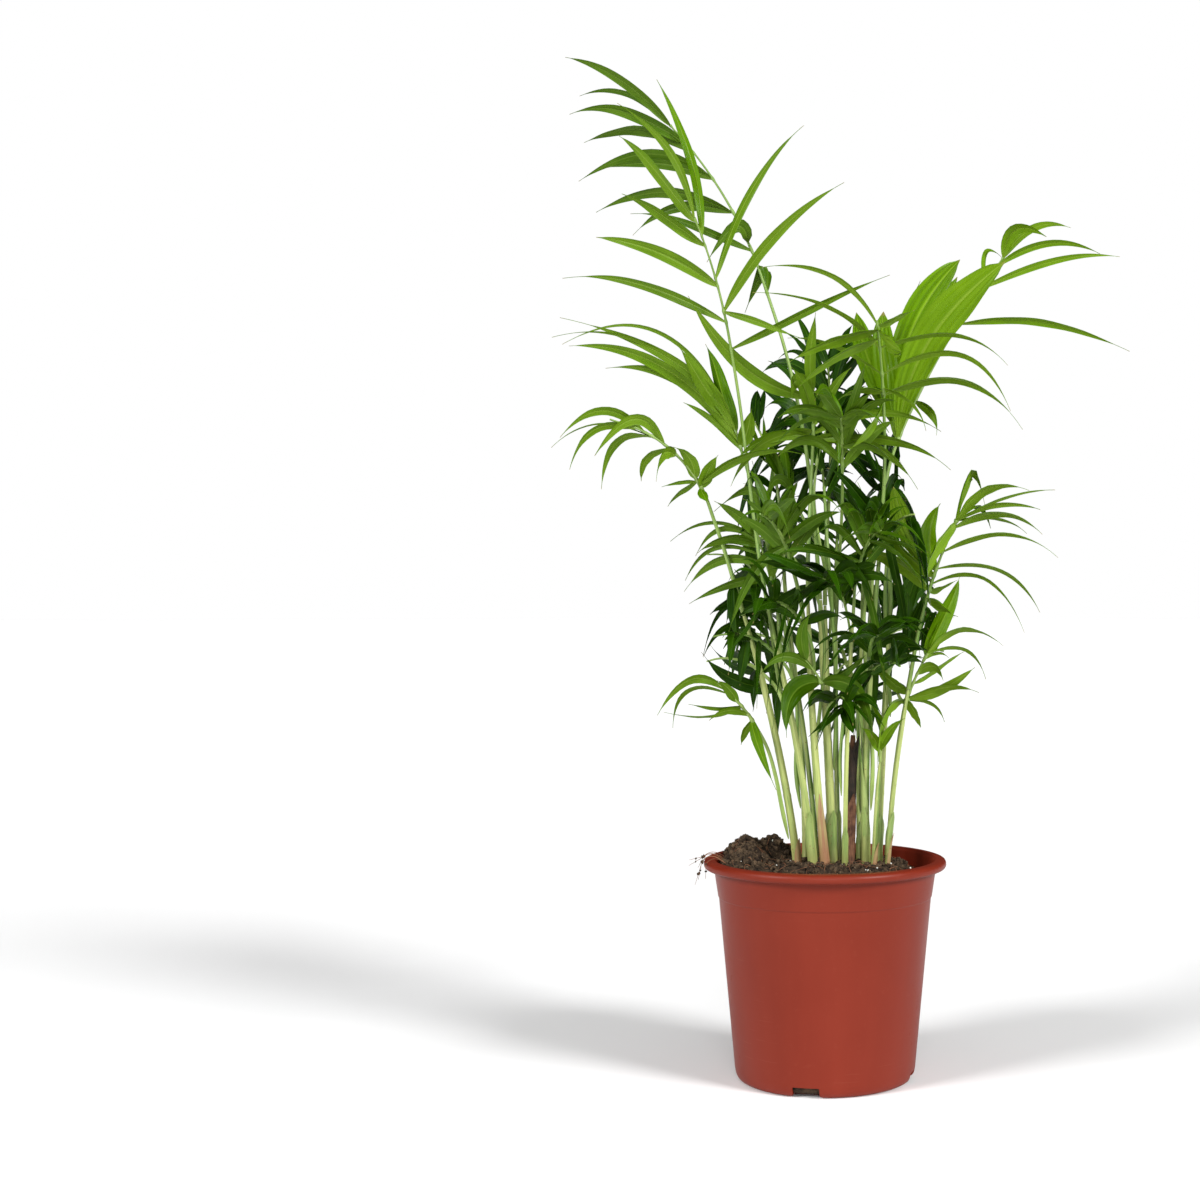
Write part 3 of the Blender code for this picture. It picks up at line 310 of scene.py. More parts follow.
def cane_axis(spec):
    (foot_x, foot_y), (bend_x, bend_z), (head_x, head_z, head_y), _ = spec
    foot = Vector((foot_x * MM, foot_y * MM, SOIL + GAP))
    head = seat(head_x, head_z, head_y)
    middle = seat(bend_x, bend_z, (foot_y + head_y) / 2)
    share = (middle.z - foot.z) / (head.z - foot.z)
    pull = (middle - foot * (1 - share) ** 2 - head * share**2) / (2 * share * (1 - share))
    return [foot, pull, head]


def sweep(path, radii, sides, turn=0.0):
    """Vertices and faces of a closed tube along a path."""
    rings = []
    side = Vector((1, 0, 0))
    count = len(path)
    for i, (place, radius) in enumerate(zip(path, radii)):
        ahead = (path[min(i + 1, count - 1)] - path[max(i - 1, 0)]).normalized()
        side = side_of(ahead, side)
        other = ahead.cross(side)
        angles = [turn + 2 * math.pi * k / sides for k in range(sides)]
        rings.append([place + (side * math.cos(a) + other * math.sin(a)) * radius for a in angles])
    vertices = [v for ring in rings for v in ring]
    faces = [tuple(reversed(range(sides)))]
    for i in range(count - 1):
        for k in range(sides):
            here, after = i * sides + k, i * sides + (k + 1) % sides
            faces.append((here, after, after + sides, here + sides))
    faces.append(tuple((count - 1) * sides + k for k in range(sides)))
    return vertices, faces


def cane_shape(path, radii):
    """A six-sided cane whose foot is cut level with the ground."""
    vertices, faces = sweep(path, radii, 6)
    for vertex in vertices[:6]:
        vertex.z = path[0].z
    return vertices, faces


def blade(leaf, grow=0.0):
    """Vertices and faces of a thin keeled blade, broadest below its middle and pointed at the tip."""
    route = [leaf["root"], leaf["pull"], leaf["tip"]]
    vertices = []
    for t, share in LEAF_SHAPE:
        place = bezier(route, t)
        ahead = (bezier(route, min(t + 0.02, 1)) - bezier(route, max(t - 0.02, 0))).normalized()
        across = side_of(ahead, leaf["across"])
        up = ahead.cross(across)
        if share == 0:
            vertices.append(place)
            continue
        half = leaf["breadth"] * share / 2 + grow
        rise = leaf["thick"] * 0.4 + grow
        vertices += [place - across * half + up * rise, place + across * half + up * rise]
        vertices.append(place - up * (leaf["thick"] * 0.6 + 2 * grow))
    rings = len(LEAF_SHAPE) - 1
    faces = [(2, 1, 0)]
    for i in range(rings - 1):
        for k in range(3):
            here, after = i * 3 + k, i * 3 + (k + 1) % 3
            faces.append((here, after, after + 3, here + 3))
    last = (rings - 1) * 3
    for k in range(3):
        faces.append((last + k, last + (k + 1) % 3, rings * 3))
    return vertices, faces


class Placed:
    """Surfaces that stand already, each with its bounds, asked whether a new one would touch them."""

    def __init__(self):
        self.items = []

    @staticmethod
    def bounds(vertices):
        low = [min(v[i] for v in vertices) for i in range(3)]
        high = [max(v[i] for v in vertices) for i in range(3)]
        return low, high

    def add(self, owner, shape):
        tree = BVHTree.FromPolygons(shape[0], shape[1])
        self.items.append((owner, *self.bounds(shape[0]), tree))

    def touches(self, owner, shape):
        low, high = self.bounds(shape[0])
        tree = None
        for other, floor, roof, standing in self.items:
            if other == owner or any(low[i] > roof[i] or high[i] < floor[i] for i in range(3)):
                continue
            tree = tree or BVHTree.FromPolygons(shape[0], shape[1])
            if tree.overlap(standing):
                return True
        return False


def drawn_rachis(spec):
    length, start, end = spec["rachis"]
    steps = 5
    x, z = spec["base"]
    near, far = spec["depth"]
    places = [seat(x, z, near)]
    for i in range(steps):
        heading = math.radians(start + (end - start) * (i + 0.5) / steps)
        x += math.cos(heading) * length / steps
        z += math.sin(heading) * length / steps
        places.append(seat(x, z, near + (far - near) * (i + 1) / steps))
    return places


def ruled_rachis(base, azimuth, start, end, length):
    steps = 5
    place = Vector(base) * MM
    places = [place]
    for i in range(steps):
        rise = math.radians(start + (end - start) * (i + 0.5) / steps)
        turn = math.radians(azimuth)
        way = Vector((math.cos(turn) * math.cos(rise), math.sin(turn) * math.cos(rise), math.sin(rise)))
        place = place + way * (length * MM / steps)
        places.append(place)
    return places


def along(places, share):
    """The place and direction at a share of a run of places."""
    spot = min(max(share, 0.0), 1.0) * (len(places) - 1)
    i = min(int(spot), len(places) - 2)
    return places[i].lerp(places[i + 1], spot - i), (places[i + 1] - places[i]).normalized()


def petiole(cane, leave, rachis, aside, bulge, close):
    """The way from a cane to the first leaflet. It starts at the cane's head, or beside the cane."""
    axis, widths = cane["axis"], cane["widths"]
    share = min(leave, 1.0)
    place = bezier(axis, share)
    ahead = (bezier(axis, min(share + 0.01, 1)) - bezier(axis, share - 0.01)).normalized()
    radius = (widths[0] + (widths[1] - widths[0]) * share) * MM / 2
    width = min(radius * 0.8, 1.6 * MM)
    if leave >= 1:
        start = place + ahead * GAP
    else:
        out = side_of(ahead, rachis[0] - place)
        out = Quaternion(ahead, math.radians(aside)) @ out
        start = place + out * ((radius + width) * close + GAP)
        ahead = (ahead + out * 0.12).normalized()
    reach = (rachis[0] - start).length
    arrive = (rachis[1] - rachis[0]).normalized()
    push = Vector((0, bulge * MM, 0))
    leaving = start + ahead * reach * 0.38 + push
    arriving = rachis[0] - arrive * reach * 0.36 + push
    route = [start, leaving, arriving, rachis[0]]
    steps = max(3, min(6, round(reach / (24 * MM))))
    return [bezier(route, i / steps) for i in range(steps)], width


def axis_shape(path, width, grow=0.0):
    count = len(path)
    radii = [max(width * (1 - 0.62 * i / (count - 1)), 0.55 * MM) + grow for i in range(count)]
    return sweep(path, radii, 3, math.pi / 2)


def drawn_leaf(spec, rachis, row, spread, dice):
    at, reach, heading, bow = row[:4]
    breadth = row[4] if len(row) > 4 else spec["breadth"]
    shift = dice.uniform(0.22, 0.46) * reach * spread
    if len(row) > 5 and row[5]:
        shift = abs(shift) * 0.4 * (1 if row[5] > 0 else -1) + row[5]
    lean = row[6] if len(row) > 6 else 0
    root, forward = along(rachis, at)
    depth = root.y / MM
    x, z = drawn_spot(root)
    turn = math.radians(heading)
    tip = (x + math.cos(turn) * reach, z + math.sin(turn) * reach)
    rise = (-math.sin(turn), math.cos(turn))
    if rise[1] < 0:
        rise = (-rise[0], -rise[1])
    ahead = (math.cos(turn) * lean * 2, math.sin(turn) * lean * 2)
    middle = [(a + b) / 2 + up * bow * 2 + on for a, b, up, on in zip((x, z), tip, rise, ahead)]
    leftward = 90 < heading % 360 < 270
    tilt = (spec["tilt"] + dice.uniform(-10, 10)) * (-1 if leftward else 1)
    if breadth > 12:
        tilt *= 0.35
    breadth = breadth / math.cos(math.radians(tilt))

    def place(extra, share):
        deep = depth + shift + extra
        end = seat(tip[0], tip[1], deep)
        pull = seat(middle[0], middle[1], (depth + deep) / 2)
        chord = (end - root).normalized()
        flat = Vector((-chord.z, 0, chord.x))
        flat = flat if flat.dot(forward) > 0 else -flat
        across = Quaternion(chord, math.radians(tilt)) @ side_of(chord, forward + flat)
        thick = max(LEAF_THICK, reach * MM * 0.012)
        return dict(root=root, pull=pull, tip=end, across=across, breadth=breadth * MM, thick=thick)

    return place


def drawn_spot(place):
    """Where a place in metres shows on the drawn plane, in mm. This is the reverse of seat."""
    far = (EYE_FAR + place.y) / EYE_FAR
    return place.x / far / MM, (EYE_HIGH + (place.z - EYE_HIGH) / far) / MM


def in_crown(place):
    x, z = drawn_spot(place)
    for (low, left, right), (high, next_left, next_right) in zip(CROWN, CROWN[1:]):
        if low <= z <= high:
            share = (z - low) / (high - low)
            return left + (next_left - left) * share <= x <= right + (next_right - right) * share
    return False


def ruled_leaf(rachis, at, side, length, breadth, dice):
    root, forward = along(rachis, at)
    out = side_of(forward, forward.cross(Vector((0, 0, 1))) * side)
    angle = math.radians(64 - 34 * at + dice.uniform(-17, 17))
    sag = length * dice.choice((0.08, 0.16, 0.26, 0.40, 0.55)) * dice.uniform(0.8, 1.2)
    climb = dice.uniform(2, 30)
    tilt = dice.uniform(-38, 38)

    def place(extra, share):
        lift = math.radians(climb + extra * 1.4)
        way = forward * math.cos(angle) + out * math.sin(angle)
        way = (way + Vector((0, 0, 1)) * math.sin(lift)).normalized() * length * share * MM
        fall = Vector((0, 0, -sag * share * MM))
        tip, pull = root + way + fall, root + way * 0.5 - fall * 0.5
        if not in_crown(tip):
            return None
        chord = (tip - root).normalized()
        across = Quaternion(chord, math.radians(tilt)) @ side_of(chord, forward)
        thick = max(LEAF_THICK, length * MM * 0.012)
        return dict(root=root, pull=pull, tip=tip, across=across, breadth=breadth * MM, thick=thick)

    return place


def leaf_rules(spec, rachis, dice):
    if isinstance(spec, dict):
        rows = enumerate(spec["leaflets"])
        return [drawn_leaf(spec, rachis, row, 1 if k % 2 else -1, dice) for k, row in rows]
    pairs, length, breadth = spec[7:]
    rules = []
    for i in range(pairs):
        at = 0.04 + 0.9 * i / (pairs - 1)
        size = length * (0.72 + 0.28 * math.sin(math.pi * min(at + 0.18, 1)))
        for side in (-1, 1):
            rules.append(ruled_leaf(rachis, at + 0.02 * side, side, size, breadth, dice))
    rules.append(ruled_leaf(rachis, 1.0, 0.3, length * 0.7, breadth, dice))
    return rules


def place_canes(placed):
    canes = {}
    for name, spec in CANES.items():
        axis = cane_axis(spec)
        steps = 3
        path = [bezier(axis, i / steps) for i in range(steps + 1)]
        foot, head = (w * MM / 2 for w in spec[3])
        radii = [foot + (head - foot) * i / steps for i in range(steps + 1)]
        radii[0] = foot * 1.14
        canes[name] = dict(axis=axis, path=path, radii=radii, widths=spec[3])
        placed.add(name, cane_shape(path, radii))
    return canes


def place_axes(placed, canes, specs):
    """Each frond's petiole and rachis, led round what stands already."""
    fronds = {}
    for name, spec in specs.items():
        if isinstance(spec, dict):
            rachis = drawn_rachis(spec)
            cane, leave = spec["cane"], spec["leave"]
        else:
            rachis = ruled_rachis(spec[2], *spec[3:7])
            cane, leave = spec[:2]
        turns = (0,) if leave >= 1 else (0, 35, -35, 70, -70)
        shares = (0.72, 0.84, 0.96)
        tries = [(aside, bulge, close) for bulge in DEPTH_TRIES for aside in turns for close in shares]
        for aside, bulge, close in tries:
            path, width = petiole(canes[cane], leave, rachis, aside, bulge, close)
            path = path + rachis
            if not placed.touches(name, axis_shape(path, width, GAP * 0.9)):
                placed.add(name, axis_shape(path, width))
                fronds[name] = dict(path=path, width=width, rachis=rachis, leaves=[])
                break
    return fronds


def place_leaves(placed, fronds, queues):
    """Each leaflet where it clears the ones before it, a little nearer or farther if need be."""
    for name, rules in queues.items():
        frond = fronds[name]
        for rule in rules:
            tries = [(extra, share) for share in CROWN_SHARES for extra in DEPTH_TRIES]
            for extra, share in tries:
                leaf = rule(extra, share)
                if leaf and not placed.touches(name, blade(leaf, GAP)):
                    placed.add(name, blade(leaf))
                    frond["leaves"].append(leaf)
                    break


def plan():
    """Every cane, frond axis and leaflet, each set where it clears the ones before it."""
    placed = Placed()
    canes = place_canes(placed)
    specs = {**DRAWN, **RULED}
    fronds = place_axes(placed, canes, specs)
    queues = {}
    for name, frond in fronds.items():
        dice = random.Random(f"{SEED} {name}")
        queues[name] = leaf_rules(specs[name], frond["rachis"], dice)
    place_leaves(placed, fronds, queues)
    return canes, fronds, placed


def cutter(name, vertices, faces):
    """A closed tool for cutting, kept out of the render."""
    mesh = bpy.data.meshes.new(name)
    mesh.from_pydata([tuple(v) for v in vertices], [], faces)
    mesh.validate()
    body = bmesh.new()
    body.from_mesh(mesh)
    bmesh.ops.recalc_face_normals(body, faces=body.faces)
    body.to_mesh(mesh)
    body.free()
    made = link(name, mesh)
    made.hide_render = True
    made.display_type = "WIRE"
    return made


def link(name, data):
    made = bpy.data.objects.new(name, data)
    bpy.context.scene.collection.objects.link(made)
    return made


def spin(name, profile):
    """A solid of revolution whose profile starts at the top of its outer side."""
    edges = [(i, i + 1) for i in range(len(profile) - 1)]
    mesh = bpy.data.meshes.new(name)
    mesh.from_pydata([(r, 0, z) for r, z in profile], edges, [])
    made = link(name, mesh)
    screw = made.modifiers.new("spin", "SCREW")
    screw.steps = POT_STEPS
    screw.render_steps = POT_STEPS
    screw.use_merge_vertices = True
    screw.merge_threshold = 0.01 * MM
    return made


def cut(body, tool):
    made = body.modifiers.new("cut", "BOOLEAN")
    made.operation = "DIFFERENCE"
    made.solver = "EXACT"
    made.object = tool


def box_tool(name, size, place, turn):
    """A box set out along the radius at an angle."""
    x, y, z = (s / 2 for s in size)
    corners = [(i * x, j * y, k * z) for i in (-1, 1) for j in (-1, 1) for k in (-1, 1)]
    faces = [(0, 1, 3, 2), (4, 6, 7, 5), (0, 4, 5, 1), (2, 3, 7, 6), (0, 2, 6, 4), (1, 5, 7, 3)]
    made = cutter(name, corners, faces)
    made.matrix_world = Matrix.Rotation(math.radians(turn), 4, "Z") @ Matrix.Translation(place)
    return made


def apply_modifiers(made):
    shown = made.evaluated_get(bpy.context.evaluated_depsgraph_get())
    mesh = bpy.data.meshes.new_from_object(shown)
    old = made.data
    made.modifiers.clear()
    made.data = mesh
    bpy.data.meshes.remove(old)


def wall_radius(z):
    """The lower wall's outer radius at a height."""
    slope = (BAND_FOOT_RADIUS - STEP_IN - BASE_RADIUS - FOOT_STEP) / (BAND_FOOT - FOOT_TOP)
    return BASE_RADIUS + FOOT_STEP + (z - FOOT_TOP) * slope


def pot_profiles():
    top, rim, under = POT_HEIGHT, RIM_RADIUS, POT_HEIGHT - RIM_DEPTH
    step = BAND_FOOT - 0.8 * MM
    outer = [
        (0, top), (78.0 * MM, top), (rim - 3.0 * MM, top), (rim - 0.8 * MM, top - 0.8 * MM),
        (rim, top - 2.4 * MM), (rim, top - 4.4 * MM), (rim - 0.8 * MM, top - 5.8 * MM),
        (rim - 2.2 * MM, under + 0.2 * MM), (BAND_TOP_RADIUS + 0.9 * MM, under),
        (BAND_TOP_RADIUS, under - 1.0 * MM),
        (BAND_FOOT_RADIUS, BAND_FOOT), (BAND_FOOT_RADIUS - STEP_IN, step), (wall_radius(MID_WALL), MID_WALL),
        (wall_radius(FOOT_TOP), FOOT_TOP), (BASE_RADIUS, 3.4 * MM), (BASE_RADIUS - 1.4 * MM, 1.1 * MM),
        (BASE_RADIUS - 3.6 * MM, 0), (0, 0),
    ]
    inner = [
        (0, top + 4 * MM), (78.6 * MM, top + 4 * MM), (77.8 * MM, top - 0.5 * MM),
        (76.7 * MM, top - 2.2 * MM),
        (BAND_TOP_RADIUS - WALL, under - 1.0 * MM), (BAND_FOOT_RADIUS - WALL, BAND_FOOT),
        (BAND_FOOT_RADIUS - STEP_IN - WALL, step), (wall_radius(MID_WALL) - WALL, MID_WALL),
        (wall_radius(FOOT_TOP) - WALL, FOOT_TOP), (BASE_RADIUS - WALL - 0.3 * MM, 3.9 * MM),
        (BASE_RADIUS - WALL - 1.6 * MM, FLOOR), (0, FLOOR),
    ]
    return outer, inner


def inner_radius(z, inner):
    for (high_r, high_z), (low_r, low_z) in zip(inner[1:], inner[2:]):
        if low_z <= z <= high_z:
            return low_r + (high_r - low_r) * (z - low_z) / max(high_z - low_z, 1e-9)
    return inner[-2][0]


def soil_height(x, y):
    """The compost's surface: level round the canes, then falling to the wall, with heaps and a hollow."""
    (mid_x, mid_y), (half_x, half_y) = SOIL_MID, SOIL_HALF
    spread = math.hypot((x - mid_x) / half_x, (y - mid_y) / half_y)
    away = max(0.0, min(1.0, (spread - 1.0) / 0.5))
    away = away * away * (3 - 2 * away)
    height = SOIL + (SOIL_EDGE - SOIL) * away
    for heap_x, heap_y, rise, wide, deep in HEAPS:
        reach = ((x / MM - heap_x) / wide) ** 2 + ((y / MM - heap_y) / deep) ** 2
        height += rise * MM * math.exp(-reach) * away
    return height


# Fine shapes

class Bag:
    """Many small shapes that become one piece, with values for its materials at each vertex."""

    def __init__(self):
        self.vertices = []
        self.faces = []
        self.slots = []
        self.values = {"along": [], "across": [], "tint": []}
        self.count = 0

    def add(self, vertices, faces, along=0.0, across=0.0, tint=0.5, slots=0):
        vertices = np.asarray(vertices, float).reshape(-1, 3)
        self.vertices.append(vertices)
        self.faces.extend([[i + self.count for i in face] for face in faces])
        self.slots.extend(slots if hasattr(slots, "__len__") else [slots] * len(faces))
        for key, value in (("along", along), ("across", across), ("tint", tint)):
            self.values[key].append(np.broadcast_to(np.asarray(value, float), (len(vertices),)))
        self.count += len(vertices)

    def piece(self, name, looks, slot, nodes, sharp=50):
        mesh = bpy.data.meshes.new(name)
        mesh.from_pydata(np.concatenate(self.vertices).tolist(), [], self.faces)
        mesh.polygons.foreach_set("material_index", self.slots)
        for key, runs in self.values.items():
            made = mesh.attributes.new(key, "FLOAT", "POINT")
            made.data.foreach_set("value", np.concatenate(runs).astype(np.float32))
        for look in looks:
            mesh.materials.append(look)
        mesh.shade_smooth()
        mesh.set_sharp_from_angle(angle=math.radians(sharp))
        settle(link(name, mesh), nodes)


def settle(piece, nodes):
    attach(piece, "root")
    if nodes:
        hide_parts(*nodes)


def unit(rows):
    return rows / np.maximum(np.linalg.norm(rows, axis=-1, keepdims=True), 1e-12)


def grid_faces(rows, columns, first=0, flip=False, closed=False):
    """Quads of a sheet of points, rows by columns, counted from first."""
    faces = []
    for i in range(rows - 1):
        for k in range(columns if closed else columns - 1):
            here, after = first + i * columns + k, first + i * columns + (k + 1) % columns
            quad = [here, after, after + columns, here + columns]
            faces.append(quad[::-1] if flip else quad)
    return faces


def rim_faces(rows, columns):
    """Quads that join the edges of two like sheets of points, the second counted on from the first."""
    total = rows * columns
    faces = []
    for k in (0, columns - 1):
        for i in range(rows - 1):
            here, after = i * columns + k, (i + 1) * columns + k
            quad = [here, after, after + total, here + total]
            faces.append(quad[::-1] if k else quad)
    for i in (0, rows - 1):
        for k in range(columns - 1):
            here, after = i * columns + k, i * columns + k + 1
            quad = [here, after, after + total, here + total]
            faces.append(quad if i else quad[::-1])
    return faces


def smooth_path(points, steps):
    """Places evenly counted along a smooth curve through the points."""
    points = [np.array(p, float) for p in points]
    points = [2 * points[0] - points[1]] + points + [2 * points[-1] - points[-2]]
    runs = len(points) - 3
    places = []
    for i in range(steps + 1):
        spot = min(i / steps * runs, runs - 1e-9)
        k = int(spot)
        t = spot - k
        a, b, c, d = points[k:k + 4]
        places.append(0.5 * (2 * b + (c - a) * t + (2 * a - 5 * b + 4 * c - d) * t**2
                             + (3 * b - a - 3 * c + d) * t**3))
    return np.array(places)


def frames(places):
    """At each place, two ways square to the way ahead that turn as little as they can."""
    ahead = unit(np.gradient(places, axis=0))
    side = np.array((1.0, 0.0, 0.0))
    sides = []
    for way in ahead:
        side = side - way * side.dot(way)
        side = side / max(np.linalg.norm(side), 1e-9)
        sides.append(side)
    sides = np.array(sides)
    return sides, np.cross(ahead, sides)


def tube(bag, places, radii, sides, tint):
    """A closed tube. radii has one value a place, or one for each place and side."""
    radii = np.asarray(radii, float)
    if radii.ndim == 1:
        radii = np.repeat(radii[:, None], sides, axis=1)
    side, other = frames(places)
    angles = np.linspace(0, 2 * math.pi, sides, endpoint=False)
    ring = side[:, None] * np.cos(angles)[None, :, None] + other[:, None] * np.sin(angles)[None, :, None]
    vertices = places[:, None] + ring * radii[:, :, None]
    count = len(places)
    faces = grid_faces(count, sides, closed=True)
    faces.append(list(reversed(range(sides))))
    faces.append([(count - 1) * sides + k for k in range(sides)])
    lengths = np.concatenate([[0], np.cumsum(np.linalg.norm(np.diff(places, axis=0), axis=1))])
    along = np.repeat(lengths, sides)
    across = np.tile(angles / math.pi - 1, count)
    bag.add(vertices, faces, along, across, tint)


LEAF_SKIN = 0.34 * MM
LEAF_FOOT = 1.1 * MM


def leaf_width(t, thread, blunt):
    """The share of a leaflet's full breadth along it: narrow at the foot, a thread at the tip."""
    t = np.clip(t / (1 - thread), 0, 1)
    rise, fall = (0.90, 0.60) if blunt > 1 else (0.62 * (1 - 0.5 * blunt), 0.98 * (1 - 0.6 * blunt))
    peak = rise / (rise + fall)
    return t**rise * (1 - t) ** fall / (peak**rise * (1 - peak) ** fall)


def fine_leaf(bag, leaf, dice, tint, fold, thread, hook, blunt, ribs=3):
    """A thin ribbed leaflet on the route of a plain one, ridged along its middle and drooping at its tip."""
    root, pull, tip = (np.array(leaf[k]) for k in ("root", "pull", "tip"))
    reach = np.linalg.norm(tip - root)
    half = leaf["breadth"] / 2
    rows = 10 + int(reach / (8 * MM))
    lanes = 2 * ribs + 1
    t = np.linspace(0, 1, rows)
    t = t + np.sin(2 * math.pi * t) * -0.035
    a, b, c = ((1 - t) ** 2)[:, None], (2 * t * (1 - t))[:, None], (t**2)[:, None]
    places = a * root + b * pull + c * tip
    places[:, 2] += hook * reach * (6.75 * t - 3.4) * t * (1 - t)
    across = np.array(leaf["across"], float)
    sway = dice.uniform(-0.035, 0.035) * reach
    places = places + unit(across[None]) * (sway * np.sin(math.pi * t) * np.cos(2.2 * t))[:, None]
    ahead = unit(np.gradient(places, axis=0))
    across = unit(across - ahead * (ahead @ across)[:, None])
    up = np.cross(ahead, across)
    if up[rows // 2][2] < 0:
        across, up = -across, -up
    turn = dice.uniform(-26, 26) * t * math.pi / 180
    cos, sin = np.cos(turn)[:, None], np.sin(turn)[:, None]
    across, up = across * cos + up * sin, up * cos - across * sin
    width = half * leaf_width(t, thread, blunt)
    width = np.maximum(width, LEAF_FOOT * 0.5 * (1 - t) ** 2 + 0.16 * MM)
    bend = np.radians(fold * (1 - 0.75 * t) + dice.uniform(-6, 6))
    u = np.linspace(-1, 1, lanes)
    pleat = 0.055 * width[:, None] * np.cos(np.abs(u) * math.pi * ribs)[None]
    wave = dice.uniform(1.5, 3.5)
    phase = dice.uniform(0, 6.28)
    edge = np.sin(2 * math.pi * (t * wave)[:, None] + phase + np.sign(u)[None]) * (u**2)[None]
    lift = pleat - np.abs(u)[None] * (width * np.sin(bend))[:, None] + edge * (0.10 * width)[:, None]
    out = u[None] * (width * np.cos(bend))[:, None]
    skin = LEAF_SKIN * (1 - 0.45 * t)[:, None, None]
    top = places[:, None] + across[:, None] * out[..., None] + up[:, None] * lift[..., None]
    under = top - up[:, None] * skin
    vertices = np.concatenate([top.reshape(-1, 3), under.reshape(-1, 3)])
    upper = grid_faces(rows, lanes, flip=True)
    lower = grid_faces(rows, lanes, rows * lanes)
    rim = rim_faces(rows, lanes)
    slots = [0] * len(upper) + [1] * len(lower) + [0] * len(rim)
    along_leaf, across_leaf = np.tile(np.repeat(t, lanes), 2), np.tile(np.tile(u, rows), 2)
    bag.add(vertices, upper + lower + rim, along_leaf, across_leaf, tint, slots)


def fillet(points, reach, steps=4):
    """A run of profile points whose corners are rounded by at most this reach."""
    points = [Vector((r, z)) for r, z in points]
    rounded = [points[0]]
    for before, here, after in zip(points, points[1:], points[2:]):
        size = min(reach, 0.45 * (before - here).length, 0.45 * (after - here).length)
        start, end = here + (before - here).normalized() * size, here + (after - here).normalized() * size
        rounded += [bezier([start, here, end], i / steps) for i in range(steps + 1)]
    rounded.append(points[-1])
    return [(p.x, p.y) for p in rounded]


# Materials: each is one Principled shader with a plain base colour, varied by its own pattern

NOISE_ROUGHNESS = 0.55
VEINS = 3.5
DRY_TIP = (0.30, 0.22, 0.08)


class Look:
    """A material in the making, with short calls that add nodes to it."""

    def __init__(self, name, roughness, specular=0.5):
        self.made = bpy.data.materials.new(name)
        self.made.use_nodes = True
        self.tree = self.made.node_tree
        self.shader = self.tree.nodes["Principled BSDF"]
        self.shader.inputs["Roughness"].default_value = roughness
        self.shader.inputs["Specular IOR Level"].default_value = specular

    def plug(self, socket, value):
        if isinstance(value, bpy.types.NodeSocket):
            self.tree.links.new(value, socket)
        elif hasattr(value, "__len__") and socket.type == "RGBA" and len(value) == 3:
            socket.default_value = (*value, 1)
        else:
            socket.default_value = value

    def value(self, name):
        made = self.tree.nodes.new("ShaderNodeAttribute")
        made.attribute_name = name
        return made.outputs["Fac"]

    def place(self):
        return self.tree.nodes.new("ShaderNodeTexCoord").outputs["Object"]

    def join(self, x, y, z):
        made = self.tree.nodes.new("ShaderNodeCombineXYZ")
        for socket, part in zip(made.inputs, (x, y, z)):
            self.plug(socket, part)
        return made.outputs[0]

    def stretch(self, scale):
        made = self.tree.nodes.new("ShaderNodeMapping")
        self.plug(made.inputs["Vector"], self.place())
        made.inputs["Scale"].default_value = scale
        return made.outputs[0]

    def noise(self, scale, detail=3.0, vector=None):
        made = self.tree.nodes.new("ShaderNodeTexNoise")
        self.plug(made.inputs["Vector"], vector or self.place())
        made.inputs["Scale"].default_value = scale
        made.inputs["Detail"].default_value = detail
        made.inputs["Roughness"].default_value = NOISE_ROUGHNESS
        return made.outputs["Fac"]

    def cells(self, scale):
        made = self.tree.nodes.new("ShaderNodeTexVoronoi")
        self.plug(made.inputs["Vector"], self.place())
        made.inputs["Scale"].default_value = scale
        return made.outputs["Distance"]

    def math(self, kind, a, b=0.0):
        made = self.tree.nodes.new("ShaderNodeMath")
        made.operation = kind
        for socket, part in zip(made.inputs, (a, b)):
            self.plug(socket, part)
        return made.outputs[0]

    def add(self, a, b):
        return self.math("ADD", a, b)

    def times(self, a, b):
        return self.math("MULTIPLY", a, b)

    def span(self, value, low, high, start=0.0, end=1.0):
        made = self.tree.nodes.new("ShaderNodeMapRange")
        keys = ("Value", "From Min", "From Max", "To Min", "To Max")
        for key, part in zip(keys, (value, low, high, start, end)):
            self.plug(made.inputs[key], part)
        return made.outputs["Result"]

    def swing(self, pattern, start=0.0, end=1.0):
        """The middle of a noise's range, spread from start to end."""
        return self.span(pattern, 0.3, 0.7, start, end)

    def mix(self, share, a, b):
        made = self.tree.nodes.new("ShaderNodeMix")
        made.data_type = "RGBA"
        self.plug(made.inputs["Factor"], share)
        self.plug(made.inputs["A"], a)
        self.plug(made.inputs["B"], b)
        return made.outputs["Result"]

    def bump(self, height, distance, strength=1.0, normal=None):
        made = self.tree.nodes.new("ShaderNodeBump")
        made.inputs["Distance"].default_value = distance
        made.inputs["Strength"].default_value = strength
        self.plug(made.inputs["Height"], height)
        if normal:
            self.plug(made.inputs["Normal"], normal)
        return made.outputs["Normal"]

    def finish(self, colour, roughness=None, normal=None):
        for key, part in (("Base Color", colour), ("Roughness", roughness), ("Normal", normal)):
            if part is not None:
                self.plug(self.shader.inputs[key], part)
        return self.made


